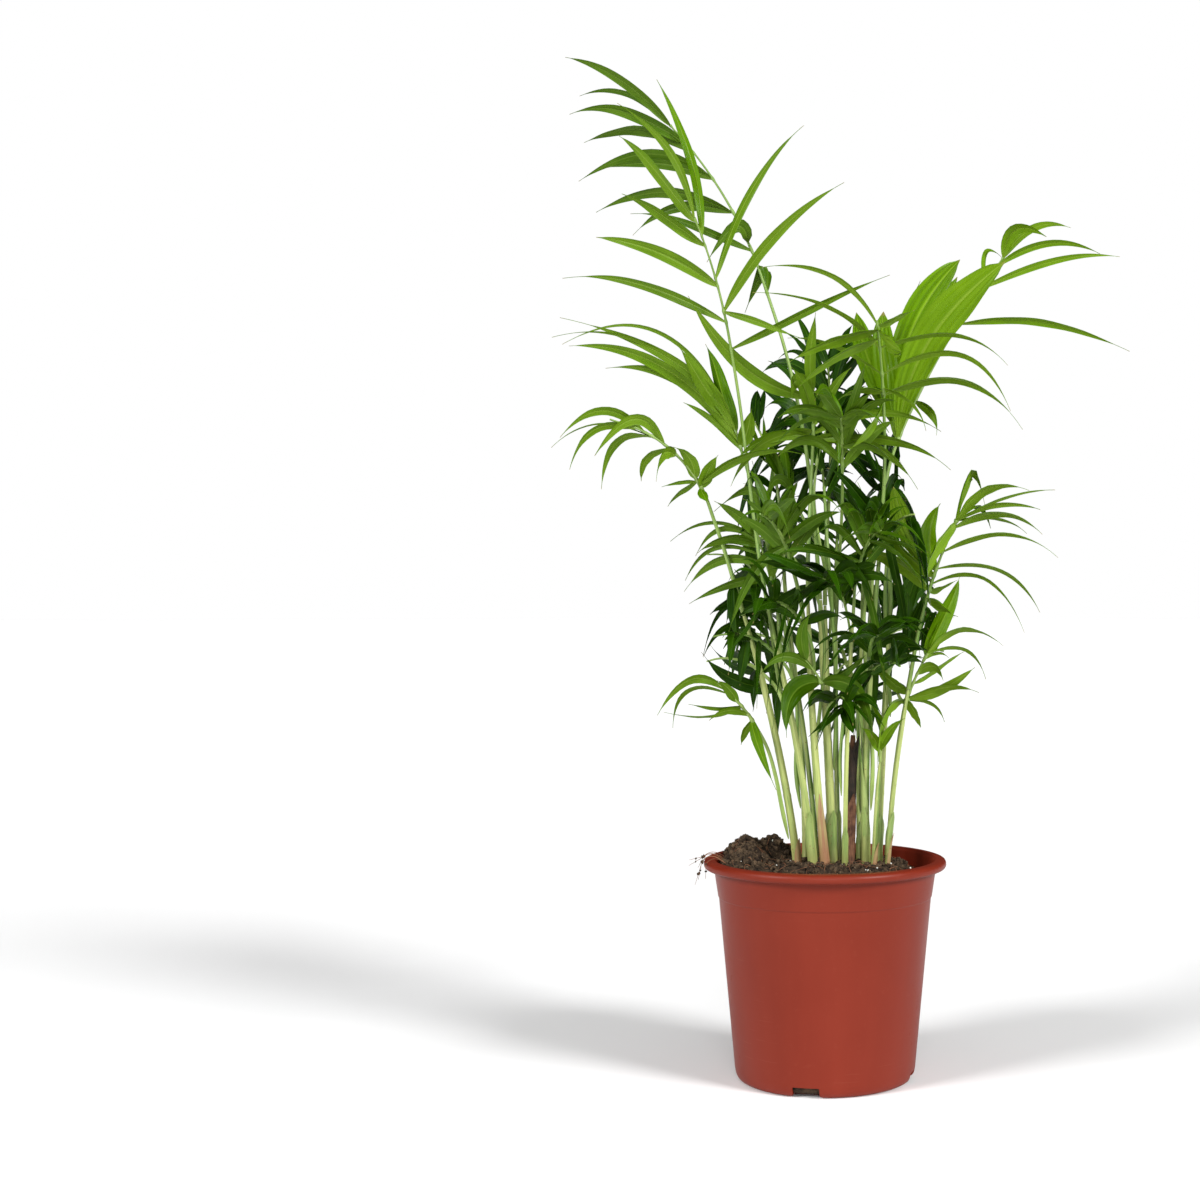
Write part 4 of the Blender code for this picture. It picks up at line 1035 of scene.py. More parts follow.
def leaf_look(name, dark, light, rib, roughness):
    """Ribbed green with a paler middle and foot and a dry tip, in a tone of its own for each leaflet."""
    look = Look(name, roughness, 0.10)
    across, along, tint = look.value("across"), look.value("along"), look.value("tint")
    lines = look.math("SINE", look.times(across, VEINS * 2 * math.pi))
    fine = look.math("SINE", look.times(across, VEINS * 5 * math.pi))
    blotch = look.noise(55, 3)
    spot = look.join(look.times(across, 3.2), look.times(along, 2.5), look.times(tint, 37))
    streak = look.noise(1, 2, spot)
    share = look.add(look.times(lines, 0.08), look.swing(blotch, -0.20, 0.20))
    share = look.add(share, look.swing(streak, -0.22, 0.22))
    share = look.add(share, look.span(tint, 0, 1, 0.12, 0.88))
    colour = look.mix(share, dark, light)
    middle = look.span(look.math("ABSOLUTE", across), 0.035, 0.11, 0.75, 0.0)
    colour = look.mix(middle, colour, rib)
    foot = look.span(along, 0.0, 0.14, 0.6, 0.0)
    colour = look.mix(foot, colour, rib)
    dry = look.span(look.add(along, look.swing(blotch, -0.02, 0.02)), 0.972, 1.0, 0.0, 0.75)
    colour = look.mix(dry, colour, DRY_TIP)
    ridges = look.add(look.times(lines, 0.5), look.times(fine, 0.12))
    normal = look.bump(ridges, 0.10 * MM, 0.6)
    rough = look.swing(blotch, roughness - 0.05, roughness + 0.07)
    return look.finish(colour, rough, normal)


def cane_look(name, pale, green, warm, speck):
    """Streaked green that pales along the cane, warmer at its foot, with small dark specks."""
    look = Look(name, 0.42)
    along, across, tint = look.value("along"), look.value("across"), look.value("tint")
    grain = look.noise(1.0, 4, look.join(look.times(across, 9.0), look.times(along, 60.0), tint))
    patch = look.noise(38, 3)
    streak = look.noise(1.0, 2, look.join(look.times(across, 3.0), look.times(along, 9.0), tint))
    share = look.add(look.swing(patch, -0.2, 0.2), look.swing(grain, -0.22, 0.22))
    share = look.add(share, look.span(streak, 0.35, 0.65, -0.30, 0.35))
    share = look.add(share, look.span(tint, 0, 1, 0.0, 0.80))
    colour = look.mix(share, pale, green)
    low = look.span(along, 0.0, 0.03, 0.35, 0.0)
    colour = look.mix(low, colour, warm)
    spots = look.span(look.cells(420), 0.10, 0.20, 1.0, 0.0)
    spots = look.times(spots, look.span(look.noise(120, 2), 0.52, 0.62, 0.0, 0.9))
    colour = look.mix(spots, colour, speck)
    normal = look.bump(grain, 0.18 * MM, 0.6)
    rough = look.swing(grain, 0.34, 0.55)
    return look.finish(colour, rough, normal)


def husk_look(name, dark, light):
    """Dry brown fibre, coarse along its length."""
    look = Look(name, 0.75, 0.3)
    along, across = look.value("along"), look.value("across")
    grain = look.noise(1.0, 5, look.join(look.times(across, 16.0), look.times(along, 90.0), 0.0))
    patch = look.noise(150, 4)
    share = look.add(look.swing(grain, 0.0, 0.7), look.span(patch, 0.35, 0.65, -0.3, 0.3))
    return look.finish(look.mix(share, dark, light), None, look.bump(grain, 0.5 * MM, 0.9))


def pot_look():
    look = Look("moulded red plastic", 0.40, 0.20)
    cloud = look.noise(16, 3)
    streak = look.noise(1.0, 3, look.stretch((60, 60, 4)))
    grain = look.noise(1400, 2)
    share = look.add(look.swing(cloud, 0.25, 0.75), look.swing(streak, -0.2, 0.2))
    colour = look.mix(share, (0.166, 0.0166, 0.0060), (0.195, 0.0220, 0.0088))
    dust = look.span(look.noise(240, 4), 0.60, 0.74, 0.0, 0.22)
    colour = look.mix(dust, colour, (0.22, 0.038, 0.021))
    scuffs = look.noise(1.0, 2, look.stretch((30, 30, 600)))
    marks = look.times(look.span(scuffs, 0.66, 0.72, 0.0, 0.4), look.span(look.noise(30, 2), 0.5, 0.62))
    colour = look.mix(marks, colour, (0.22, 0.042, 0.024))
    rough = look.add(look.swing(cloud, 0.38, 0.48), look.times(dust, 0.5))
    wavy = look.bump(look.noise(45, 2), 0.25 * MM, 0.5)
    normal = look.bump(grain, 0.05 * MM, 0.6, wavy)
    return look.finish(colour, rough, normal)


def soil_look(name, dark, light, fleck):
    look = Look(name, 0.95, 0.25)
    clod, grit = look.noise(260, 5), look.noise(1100, 3)
    share = look.add(look.span(clod, 0.35, 0.65, 0.0, 0.8), look.swing(grit, -0.2, 0.3))
    colour = look.mix(share, dark, light)
    bits = look.span(look.noise(600, 2), 0.68, 0.74)
    colour = look.mix(look.times(bits, 0.7), colour, fleck)
    return look.finish(colour, None, look.bump(look.add(clod, grit), 1.2 * MM, 0.9))


def plain_look(name, dark, light, roughness):
    look = Look(name, roughness, 0.3)
    colour = look.mix(look.swing(look.noise(500)), dark, light)
    return look.finish(colour, None, look.bump(look.noise(1000, 2), 0.1 * MM, 0.6))


# Canes, stalks and leaflets

CANE_SIDES = 16
CANE_STEPS = 70
STALK_SIDES = 10
STALK_STEPS = 14
SHEATH_SKIN = 0.22 * MM
RING_GAPS = (26, 44)
HUSK_CANE = "cane_8"
CANE_TINTS = {
    "cane_1": 0.2, "cane_2": 0.35, "cane_3": 0.95, "cane_5": 0.1,
    "cane_9": 0.3, "cane_10": 0.8, "cane_13": 0.4,
}

# Sheaths and scales at the canes: cane, share of the cane where each starts and ends, the way it faces in
# degrees, and its kind
SCALE_KINDS = ("green", "papery", "husk", "black")
SCALES = (
    ("cane_2", 0.0, 0.24, -60, "green"), ("cane_4", 0.0, 0.27, -80, "papery"),
    ("cane_5", 0.0, 0.20, -70, "green"), ("cane_9", 0.0, 0.17, -50, "green"),
    ("cane_10", 0.0, 0.24, -110, "green"), ("cane_11", 0.0, 0.22, -30, "papery"),
    ("cane_12", 0.0, 0.20, -80, "green"), ("cane_13", 0.0, 0.18, -20, "papery"),
    ("cane_13", 0.05, 0.30, -60, "green"), ("cane_7", 0.0, 0.16, -90, "green"),
    ("cane_15", 0.0, 0.22, 90, "husk"), ("cane_14", 0.0, 0.2, 100, "green"),
    ("cane_8", 0.0, 0.55, -70, "husk"), ("cane_8", 0.35, 0.95, -120, "black"),
    ("cane_8", 0.5, 1.0, -40, "black"), ("cane_10", 0.0, 0.42, -150, "green"),
    ("cane_1", 0.0, 0.10, -40, "papery"), ("cane_6", 0.0, 0.2, -60, "green"),
)

# The tone of each frond's leaflets. Those not named are deep: their darker base colours are painted shade,
# for fronds that stand inside and behind the crown
YOUNG = ("frond_right", "frond_new")
FRESH = ("frond_high_left", "frond_front_right", "frond_right_lowest", "frond_left", "frond_young_left",
         "frond_right_low", "frond_low_left", "frond_centre")
MIDDLE = ("frond_top_left", "frond_front", "frond_fore_high", "frond_fore_left", "frond_fore_right",
          "frond_mid_left", "frond_fill_left")

# Base colours of a leaflet's upper side and underside: darkest, lightest, and along the ribs
UPPER_TONES = {
    "young": ((0.070, 0.165, 0.001), (0.120, 0.245, 0.002), (0.20, 0.33, 0.02)),
    "fresh": ((0.055, 0.145, 0.0006), (0.108, 0.225, 0.0015), (0.19, 0.31, 0.02)),
    "middle": ((0.027, 0.082, 0.0006), (0.062, 0.138, 0.002), (0.11, 0.20, 0.015)),
    # deep: painted shade of the crown's inside, darker than the leaflets' own green
    "deep": ((0.005, 0.027, 0.0002), (0.020, 0.066, 0.0005), (0.045, 0.11, 0.006)),
}
UNDER_TONES = {
    "young": ((0.085, 0.185, 0.002), (0.140, 0.260, 0.004), (0.22, 0.34, 0.03)),
    "fresh": ((0.090, 0.185, 0.005), (0.150, 0.265, 0.012), (0.22, 0.34, 0.04)),
    "middle": ((0.045, 0.115, 0.002), (0.095, 0.180, 0.010), (0.15, 0.25, 0.03)),
    # deep: painted shade of the crown's inside, on the undersides too
    "deep": ((0.007, 0.034, 0.0003), (0.026, 0.075, 0.001), (0.06, 0.13, 0.008)),
}
UPPER_ROUGHNESS = 0.27
UNDER_ROUGHNESS = 0.34

# How leaflets vary. A broad one is the undivided blade of a young frond
BROAD = 16 * MM
BROAD_SHAPE = dict(fold=6, thread=0.02, hook=0.0, blunt=2, ribs=5)
DRAWN_RANGES = dict(fold=(10, 30), thread=(0.02, 0.12), hook=(0.0, 0.03), blunt=(0.0, 0.35))
OTHER_RANGES = dict(fold=(12, 34), thread=(0.02, 0.10), hook=(0.0, 0.06), blunt=(0.1, 0.5))

# Fronds deep in the crown that only thicken it, set out as the ruled fronds are
INNER = {
    "inner_1": ("cane_3", 0.30, (-20, 6, 360), 150, 50, -10, 56, 6, 74, 10.5),
    "inner_4": ("cane_10", 0.22, (36, -22, 366), 300, 56, 0, 56, 6, 76, 11),
    "inner_5": ("cane_7", 0.28, (14, -22, 330), 250, 52, -8, 50, 6, 70, 10.5),
    "inner_6": ("cane_4", 0.7, (-16, -26, 318), 235, 46, -12, 50, 6, 70, 10),
    "inner_7": ("cane_2", 0.25, (-38, -14, 300), 200, 40, -16, 44, 6, 62, 9.5),
    "inner_8": ("cane_15", 0.25, (36, 26, 300), 40, 44, -14, 50, 6, 66, 10),
    "inner_9": ("cane_16", 0.7, (-26, 26, 296), 150, 44, -14, 50, 6, 66, 10),
    "inner_10": ("cane_5", 0.35, (0, 2, 402), 96, 70, 20, 50, 6, 80, 11),
    "inner_11": ("cane_12", 0.95, (46, 8, 388), 80, 66, 20, 44, 5, 66, 10),
    "inner_13": ("cane_9", 0.2, (30, -16, 282), 300, 40, -20, 44, 6, 58, 9.5),
    "inner_15": ("cane_12", 0.6, (50, 4, 292), 350, 40, -20, 36, 6, 58, 9.5),
    "inner_16": ("cane_2", 0.62, (-46, 2, 284), 175, 40, -20, 40, 6, 56, 9),
    "inner_18": ("cane_6", 0.95, (-6, 12, 430), 60, 74, 30, 50, 5, 72, 10.5),
    "inner_19": ("cane_3", 0.8, (-44, 2, 350), 190, 50, -6, 44, 6, 60, 9.5),
    "inner_20": ("cane_5", 0.52, (4, -16, 262), 290, 30, -20, 34, 5, 50, 9),
    "inner_21": ("cane_10", 0.50, (22, -14, 258), 250, 30, -20, 34, 5, 50, 9),
    "inner_24": ("cane_15", 0.46, (20, 30, 258), 70, 30, -20, 34, 5, 50, 9),
}


def class_of(name):
    """The tone that a frond's leaflets take. The deep tone, given to the rest, is painted shade."""
    for kind, names in (("young", YOUNG), ("fresh", FRESH), ("middle", MIDDLE)):
        if name in names:
            return kind
    return "deep"


def fine_cane(bag, name, cane, dice):
    """A cane with faint flutes, the rings of old sheaths and a swollen foot."""
    places = np.array([bezier(cane["axis"], i / CANE_STEPS) for i in range(CANE_STEPS + 1)])
    share = np.linspace(0, 1, len(places))
    foot, head = cane["widths"]
    radius = (foot + (head - foot) * share) * MM / 2
    radius *= 1 + 0.16 * np.exp(-share / 0.03)
    radius *= 1 - 0.45 * np.clip((share - 0.72) / 0.28, 0, 1) ** 1.5
    heights = share * np.linalg.norm(places[-1] - places[0]) / MM
    at = dice.uniform(8, 24)
    while at < heights[-1]:
        ring, dent = np.exp(-((heights - at) / 1.1) ** 2), np.exp(-((heights - at - 2.6) / 1.6) ** 2)
        radius *= 1 + 0.055 * ring - 0.03 * dent
        at += dice.uniform(*RING_GAPS)
    angles = np.linspace(0, 2 * math.pi, CANE_SIDES, endpoint=False)
    flutes = 1 + 0.030 * np.cos(angles * 5 + dice.uniform(0, 6))[None] * (1 - 0.4 * share[:, None])
    spiral = 0.02 * np.cos(angles[None] + share[:, None] * 7 + dice.uniform(0, 6))
    radii = radius[:, None] * (flutes + spiral)
    tube(bag, places, radii, CANE_SIDES, CANE_TINTS.get(name, dice.uniform(0.2, 0.8)))


def scale_leaf(bag, cane, start, end, facing, dice, slot):
    """A papery sheath that clasps a cane and ends in a pointed, slightly open tip."""
    rows, columns, wrap = 16, 13, 1.3 if slot == 1 else 2.5
    shares = [start + (end - start) * i / (rows - 1) for i in range(rows)]
    places = np.array([bezier(cane["axis"], at) for at in shares])
    places[0] -= np.array([0, 0, 1.0 * MM]) if start == 0 else 0
    side, other = frames(places)
    foot, head = cane["widths"]
    radius = np.array([(foot + (head - foot) * at) * MM / 2 for at in shares])
    share = np.linspace(0, 1, rows)
    spread = wrap * np.clip(1 - share**1.8, 0.03, 1)
    turn = math.radians(facing) + spread[:, None] * np.linspace(-1, 1, columns)[None]
    stand = 1.10 + 0.10 * share + 0.55 * share**5 + 0.03 * np.sin(9 * share + dice.uniform(0, 6))
    reach = (radius * stand)[:, None] + 0.25 * MM
    out = side[:, None] * np.cos(turn)[..., None] + other[:, None] * np.sin(turn)[..., None]
    layers = [places[:, None] + out * (reach + skin)[..., None] for skin in (SHEATH_SKIN, 0.0)]
    vertices = np.concatenate([layer.reshape(-1, 3) for layer in layers])
    faces = grid_faces(rows, columns) + grid_faces(rows, columns, rows * columns, flip=True)
    faces += rim_faces(rows, columns)
    along = np.tile(np.repeat(share * 0.06, columns), 2)
    across = np.tile(np.tile(np.linspace(-0.6, 0.6, columns), rows), 2)
    bag.add(vertices, faces, along, across, dice.uniform(0.1, 0.9), slot)


def fine_stalk(bag, frond, dice, beside):
    """The petiole and rachis as one smooth tapering stalk, with a knuckle at each leaflet."""
    path = frond["path"]
    places = smooth_path(path, STALK_STEPS * (len(path) - 1))
    share = np.linspace(0, 1, len(places))
    radius = np.maximum(frond["width"] * (1 - 0.62 * share), 0.55 * MM)
    if beside:
        away = np.linalg.norm(places - places[0], axis=1)
        radius *= 0.15 + 0.85 * np.clip(away / (16 * MM), 0, 1) ** 0.6
    for leaf in frond["leaves"]:
        away = np.linalg.norm(places - np.array(leaf["root"]), axis=1)
        radius = radius + 0.28 * MM * np.exp(-((away / (1.6 * MM)) ** 2))
    tube(bag, places, radius, STALK_SIDES, dice.uniform(0, 1))


def thicken(placed, canes, fronds):
    """More leaflets between those of the ruled fronds, and the fronds deep inside, clear of what stands."""
    inner = place_axes(placed, canes, INNER)
    fronds.update(inner)
    queues = {}
    for name in list(RULED) + list(inner):
        if name in fronds:
            dice = random.Random(f"{SEED} more {name}")
            spec = INNER.get(name) or RULED[name]
            queues[name] = loose_rules(spec, fronds[name]["rachis"], dice, 1 if name in inner else 0)
    place_leaves(placed, fronds, queues)


def loose_leaf(rachis, at, side, length, breadth, dice):
    """A leaflet that leaves its rachis more freely than a ruled one, and hangs, arches or stands."""
    root, forward = along(rachis, at)
    out = side_of(forward, forward.cross(Vector((0, 0, 1))) * side)
    angle = math.radians(60 - 30 * at + dice.uniform(-30, 30))
    climb = math.radians(dice.choice((-40, -15, 0, 15, 30, 50)) + dice.uniform(-8, 8))
    sag = length * dice.uniform(0.04, 0.55)
    tilt = math.radians(dice.uniform(-60, 60))

    def place(extra, share):
        way = forward * math.cos(angle) + out * math.sin(angle)
        way = (way + Vector((0, 0, 1)) * math.tan(climb + math.radians(extra * 1.6)) * 0.8).normalized()
        way, fall = way * length * share * MM, Vector((0, 0, -sag * share * MM))
        tip, pull = root + way + fall, root + way * 0.5 - fall * 0.6
        if not in_crown(tip):
            return None
        chord = (tip - root).normalized()
        across = Quaternion(chord, tilt) @ side_of(chord, forward)
        broad = breadth * (0.5 + 0.5 * share) * MM
        return dict(root=root, pull=pull, tip=tip, across=across, breadth=broad, thick=LEAF_THICK * 0.5)

    return place


def loose_rules(spec, rachis, dice, whole):
    """The leaflets of an inner frond, or those that stand between the pairs of a ruled one."""
    pairs, length, breadth = spec[7:]
    rules = []
    for i in range(pairs - 1 + whole):
        at = 0.04 + 0.9 * (i + 0.5 * (1 - whole)) / (pairs - 1)
        size = length * (0.72 + 0.28 * math.sin(math.pi * min(at + 0.18, 1))) * dice.uniform(0.8, 1.15)
        broad = breadth * dice.uniform(0.7, 1.15)
        rules += [loose_leaf(rachis, at + 0.03 * side, side, size, broad, dice) for side in (-1, 1)]
    return rules


def fine_fronds(fronds, bags, stalks):
    """Every frond's stalk and leaflets, each leaflet with a tint near its frond's own."""
    for name, frond in fronds.items():
        dice = random.Random(f"{SEED} fine {name}")
        spec = INNER.get(name) or RULED.get(name) or DRAWN[name]
        leave = spec["leave"] if isinstance(spec, dict) else spec[1]
        fine_stalk(stalks, frond, dice, leave < 1)
        kind = class_of(name)
        shade = dice.uniform(0.15, 0.85)
        for leaf in frond["leaves"]:
            tint = min(max(shade + dice.uniform(-0.25, 0.25), 0), 1)
            shape = BROAD_SHAPE
            if leaf["breadth"] <= BROAD:
                ranges = DRAWN_RANGES if name in DRAWN else OTHER_RANGES
                shape = {key: dice.uniform(*limits) for key, limits in ranges.items()}
            fine_leaf(bags[kind], leaf, dice, tint, **shape)


# The pot and its compost

SOIL_RINGS = 84
SOIL_SPOKES = 340
SOIL_REACH = 0.97
LOOSE_SHARP = 80
CRUMBS = 1500
CRUMB_SIZES = (0.9, 1.2, 1.6, 2.0, 2.6, 3.6)
HEAP_CRUMBS = 120
FIBRES = 210
GRAINS = 70
THREAD_STEPS = 5
THREAD_SIDES = 5

# Roots over the rim: their way in degrees, how far they stand off and hang in mm, and how far they turn
RIM_ROOTS = (
    (176, 9, 2, 5), (181, 10, 7, -4), (186, 3, 14, 3), (190, 5, 18, -3), (171, 4, 9, 4), (196, 1, 11, 4),
)


def fine_pot():
    outer, inner = pot_profiles()
    pot = spin("pot_shell", fillet(outer, 2.6 * MM, 5))
    hollow = spin("pot_hollow", fillet(inner, 1.6 * MM, 4))
    rise = NOTCH_HEIGHT + WALL
    humps, mouths = [], []
    for k in range(NOTCHES):
        turn = NOTCH_TURN + 360 * k / NOTCHES
        size = (32 * MM, NOTCH_WIDTH + 2 * WALL, rise + 10 * MM)
        humps.append(box_tool(f"hump_{k}", size, Vector((62 * MM, 0, rise / 2 - 5 * MM)), turn))
        mouths.append(notch_tool(f"notch_{k}", turn))
        cut(hollow, humps[-1])
    apply_modifiers(hollow)
    for tool in [hollow] + mouths:
        cut(pot, tool)
    apply_modifiers(pot)
    for tool in [hollow] + humps + mouths:
        bpy.data.objects.remove(tool)
    pot.data.materials.clear()
    pot.data.materials.append(pot_look())
    pot.data.shade_smooth()
    pot.data.set_sharp_from_angle(angle=math.radians(38))
    settle(pot, ["pot"])


def notch_tool(name, turn):
    """The space of a notch: square at the top and flared into rounded corners at the foot."""
    half, high, flare = NOTCH_WIDTH / 2, NOTCH_HEIGHT, 2.6 * MM
    right = [(half + flare + 1 * MM, -3 * MM), (half + flare, 0)]
    for i in range(1, 7):
        a = math.pi / 2 * i / 6
        right.append((half + flare * (1 - math.sin(a)), flare * (1 - math.cos(a))))
    right += [(half, high - 0.5 * MM), (half - 0.5 * MM, high)]
    outline = right + [(-x, z) for x, z in reversed(right)]
    count = len(outline)
    vertices = [(reach, x, z) for reach in NOTCH_REACH for x, z in outline]
    faces = [list(range(count))[::-1], [count + k for k in range(count)]]
    faces += [[k, (k + 1) % count, count + (k + 1) % count, count + k] for k in range(count)]
    made = cutter(name, vertices, faces)
    made.matrix_world = Matrix.Rotation(math.radians(turn), 4, "Z")
    return made


def crumbly(x, y, z):
    """How far the compost's surface rises or dips here, in metres."""
    spot = Vector((x, y, z))
    coarse = noise.fractal(spot * 95, 0.9, 2.1, 4) * 1.9
    lumps = (0.5 - noise.voronoi(spot * 210)[0][0]) * 1.7
    fine = noise.fractal(spot * 520, 0.8, 2.0, 3) * 0.5
    return (coarse + lumps + fine) * MM


def on_ring(radius, angle):
    return radius * math.cos(angle), radius * math.sin(angle)


def fine_soil():
    """The compost's crumbled surface, closed below along the pot's inside."""
    _, inner = pot_profiles()
    edge = inner_radius(SOIL_EDGE, inner) - 0.9 * MM
    vertices = []
    for i in range(SOIL_RINGS + 1):
        share = (i / SOIL_RINGS) ** 0.85
        reach = max(edge * share, 0.05 * MM)
        fade = min(1.0, (1 - share) * 12)
        for k in range(SOIL_SPOKES):
            x, y = on_ring(reach, 2 * math.pi * (k + 0.5 * (i % 2)) / SOIL_SPOKES)
            z = soil_height(x, y)
            vertices.append((x, y, z + crumbly(x, y, z) * (0.35 + 0.65 * fade) - 0.6 * MM * (1 - fade)))
    floors = [z for _, z in inner[5:-1]]
    for z in floors:
        radius = inner_radius(z, inner) - 0.6 * MM
        for k in range(SOIL_SPOKES):
            vertices.append((*on_ring(radius, 2 * math.pi * k / SOIL_SPOKES), max(z, FLOOR + GAP)))
    count = SOIL_RINGS + 1 + len(floors)
    faces = [f[::-1] for f in grid_faces(count, SOIL_SPOKES, closed=True)]
    faces.append(list(range(SOIL_SPOKES)))
    faces.append([(count - 1) * SOIL_SPOKES + k for k in reversed(range(SOIL_SPOKES))])
    bag = Bag()
    bag.add(vertices, faces)
    look = soil_look("damp compost", (0.008, 0.0045, 0.003), (0.080, 0.050, 0.028), (0.20, 0.13, 0.075))
    bag.piece("compost_bed", [look], "compost", ["compost"], LOOSE_SHARP)


def on_soil(dice):
    """A random place on the compost's surface."""
    _, inner = pot_profiles()
    radius = (inner_radius(SOIL_EDGE, inner) - 2 * MM) * SOIL_REACH * math.sqrt(dice.random())
    x, y = on_ring(radius, dice.uniform(0, 2 * math.pi))
    return Vector((x, y, soil_height(x, y)))


def clod(bag, place, size, dice, rough=0.35):
    """One irregular lump."""
    body = bmesh.new()
    bmesh.ops.create_icosphere(body, subdivisions=1 if size < 2.2 * MM else 2, radius=1)
    shift = Vector([dice.uniform(0, 99) for _ in range(3)])
    turn = Quaternion([dice.uniform(-1, 1) for _ in range(4)]).normalized()
    squash = Vector((dice.uniform(0.7, 1.3), dice.uniform(0.7, 1.2), dice.uniform(0.6, 1.0)))
    vertices = []
    for vertex in body.verts:
        co = vertex.co * (1 + rough * noise.noise(vertex.co * 1.7 + shift) * 2)
        co = turn @ (co * squash)
        vertices.append(place + co * size / 2)
    faces = [[v.index for v in face.verts] for face in body.faces]
    body.free()
    bag.add(vertices, faces, tint=dice.random())


def thread(bag, places, radius, tint):
    places = smooth_path(places, THREAD_STEPS * (len(places) - 1))
    share = np.linspace(0, 1, len(places))
    tube(bag, places, radius * (1 - 0.6 * share) + 0.03 * MM, THREAD_SIDES, tint)


def strew_crumbs(crumbs, dice):
    """Crumbs all over the compost, and more of them on its heaps."""
    for _ in range(CRUMBS):
        place = on_soil(dice)
        size = dice.choice(CRUMB_SIZES) * MM * dice.uniform(0.8, 1.25)
        clod(crumbs, place + Vector((0, 0, size * 0.22)), size, dice)
    for heap_x, heap_y, _, wide, deep in HEAPS[:4]:
        for _ in range(HEAP_CRUMBS):
            x = (heap_x + dice.gauss(0, 0.42) * wide) * MM
            y = (heap_y + dice.gauss(0, 0.42) * deep) * MM
            if math.hypot(x, y) < 73 * MM:
                size = dice.uniform(1.6, 4.6) * MM
                clod(crumbs, Vector((x, y, soil_height(x, y) + size * 0.25)), size, dice)


def lay_fibres(fibres, dice):
    """Short root fibres that lie on the compost with their middles lifted."""
    for _ in range(FIBRES):
        place = on_soil(dice)
        turn, reach = dice.uniform(0, 2 * math.pi), dice.uniform(4, 17) * MM
        way = Vector((math.cos(turn), math.sin(turn), 0))
        side = Vector((-way.y, way.x, 0)) * dice.uniform(-0.35, 0.35)
        middle = place + way * reach * 0.5 + side * reach
        end = place + way * reach
        points = []
        for spot, lift in ((place, -0.6), (middle, dice.uniform(0.8, 3.2)), (end, dice.uniform(-0.6, 1.6))):
            points.append(Vector((spot.x, spot.y, soil_height(spot.x, spot.y) + lift * MM)))
        if math.hypot(end.x, end.y) < 74 * MM:
            thread(fibres, points, dice.uniform(0.10, 0.26) * MM, dice.random())


def hang_roots(fibres, crumbs, dice):
    """A few roots over the left of the rim, with crumbs caught on them."""
    for turn, out, drop, sway in RIM_ROOTS:
        points = []
        for share in (0, 0.25, 0.45, 0.6, 0.8, 1.0):
            radius = 70 + (RIM_RADIUS / MM + 1.2 - 70) * min(share / 0.6, 1) + max(share - 0.6, 0) / 0.4 * out
            z = 151 + 4.5 * math.sin(math.pi * min(share / 0.6, 1) * 0.8) - max(share - 0.55, 0) / 0.45 * drop
            points.append(Vector((*on_ring(radius, math.radians(turn + sway * share)), z)) * MM)
        thread(fibres, points, 0.24 * MM, dice.random())
        for caught in points[3:5]:
            clod(crumbs, caught, dice.uniform(1.2, 2.6) * MM, dice)


def litter():
    """All that lies loose on the compost, each kind in one piece."""
    dice = random.Random(f"{SEED} litter")
    crumbs, fibres, grains = Bag(), Bag(), Bag()
    strew_crumbs(crumbs, dice)
    lay_fibres(fibres, dice)
    for _ in range(GRAINS):
        size = dice.uniform(0.7, 1.9) * MM
        clod(grains, on_soil(dice) + Vector((0, 0, size * 0.5)), size, dice, 0.2)
    hang_roots(fibres, crumbs, dice)
    brown = plain_look("root fibre", (0.10, 0.035, 0.016), (0.30, 0.14, 0.07), 0.8)
    crumb = soil_look("loose crumb", (0.012, 0.007, 0.004), (0.130, 0.085, 0.048), (0.34, 0.24, 0.15))
    white = plain_look("white grain", (0.50, 0.50, 0.44), (0.82, 0.82, 0.76), 0.8)
    for bag, kind, look in ((crumbs, "crumbs", crumb), (fibres, "fibres", brown), (grains, "grains", white)):
        bag.piece("compost_" + kind, [look], "compost", [], LOOSE_SHARP)


# Light, floor and camera

LENS = 55.09
SENSOR = 36
SIDE_SHIFT = -0.1875
AMBIENT = 0.04

# Suns: the way each stands, its strength, and its spread in degrees
SUNS = {
    "left": ((-0.80, -0.60, 0.55), 2.3, 18),
    "right": ((0.80, -0.60, 0.55), 3.0, 18),
    "front": ((0.05, -1.0, 0.32), 1.1, 25),
    "top": ((0.0, -0.3, 1.0), 0.6, 50),
}


def lights():
    for name, (way, strength, spread) in SUNS.items():
        lamp = bpy.data.lights.new(name, "SUN")
        lamp.energy = strength
        lamp.angle = math.radians(spread)
        made = link(name, lamp)
        made.rotation_euler = Vector(way).to_track_quat("Z", "Y").to_euler()


def surroundings():
    """A faint even light that the camera sees as white, and a pale floor."""
    world = bpy.data.worlds.new("studio")
    bpy.context.scene.world = world
    world.use_nodes = True
    tree = world.node_tree
    tree.nodes["Background"].inputs["Color"].default_value = (1, 1, 1, 1)
    seen = tree.nodes.new("ShaderNodeLightPath").outputs["Is Camera Ray"]
    level = tree.nodes.new("ShaderNodeMapRange")
    level.inputs["To Min"].default_value = AMBIENT
    level.inputs["To Max"].default_value = 1.0
    tree.links.new(seen, level.inputs["Value"])
    tree.links.new(level.outputs["Result"], tree.nodes["Background"].inputs["Strength"])
    look = Look("pale floor", 1.0, 0.0)
    look.finish(look.mix(look.swing(look.noise(3, 2)), (0.93, 0.93, 0.93), (0.94, 0.94, 0.94)))
    bpy.ops.mesh.primitive_circle_add(vertices=128, radius=30, fill_type="NGON", location=(0, 0, -0.2 * MM))
    floor = bpy.context.object
    floor.name = "floor"
    floor.data.materials.append(look.made)


def viewpoint():
    lens = bpy.data.cameras.new("camera")
    lens.lens = LENS
    lens.sensor_width = SENSOR
    lens.shift_x = SIDE_SHIFT
    lens.clip_end = 100
    made = link("camera", lens)
    made.location = (0, -EYE_FAR, EYE_HIGH)
    made.rotation_euler = (math.pi / 2, 0, 0)
    bpy.context.scene.camera = made


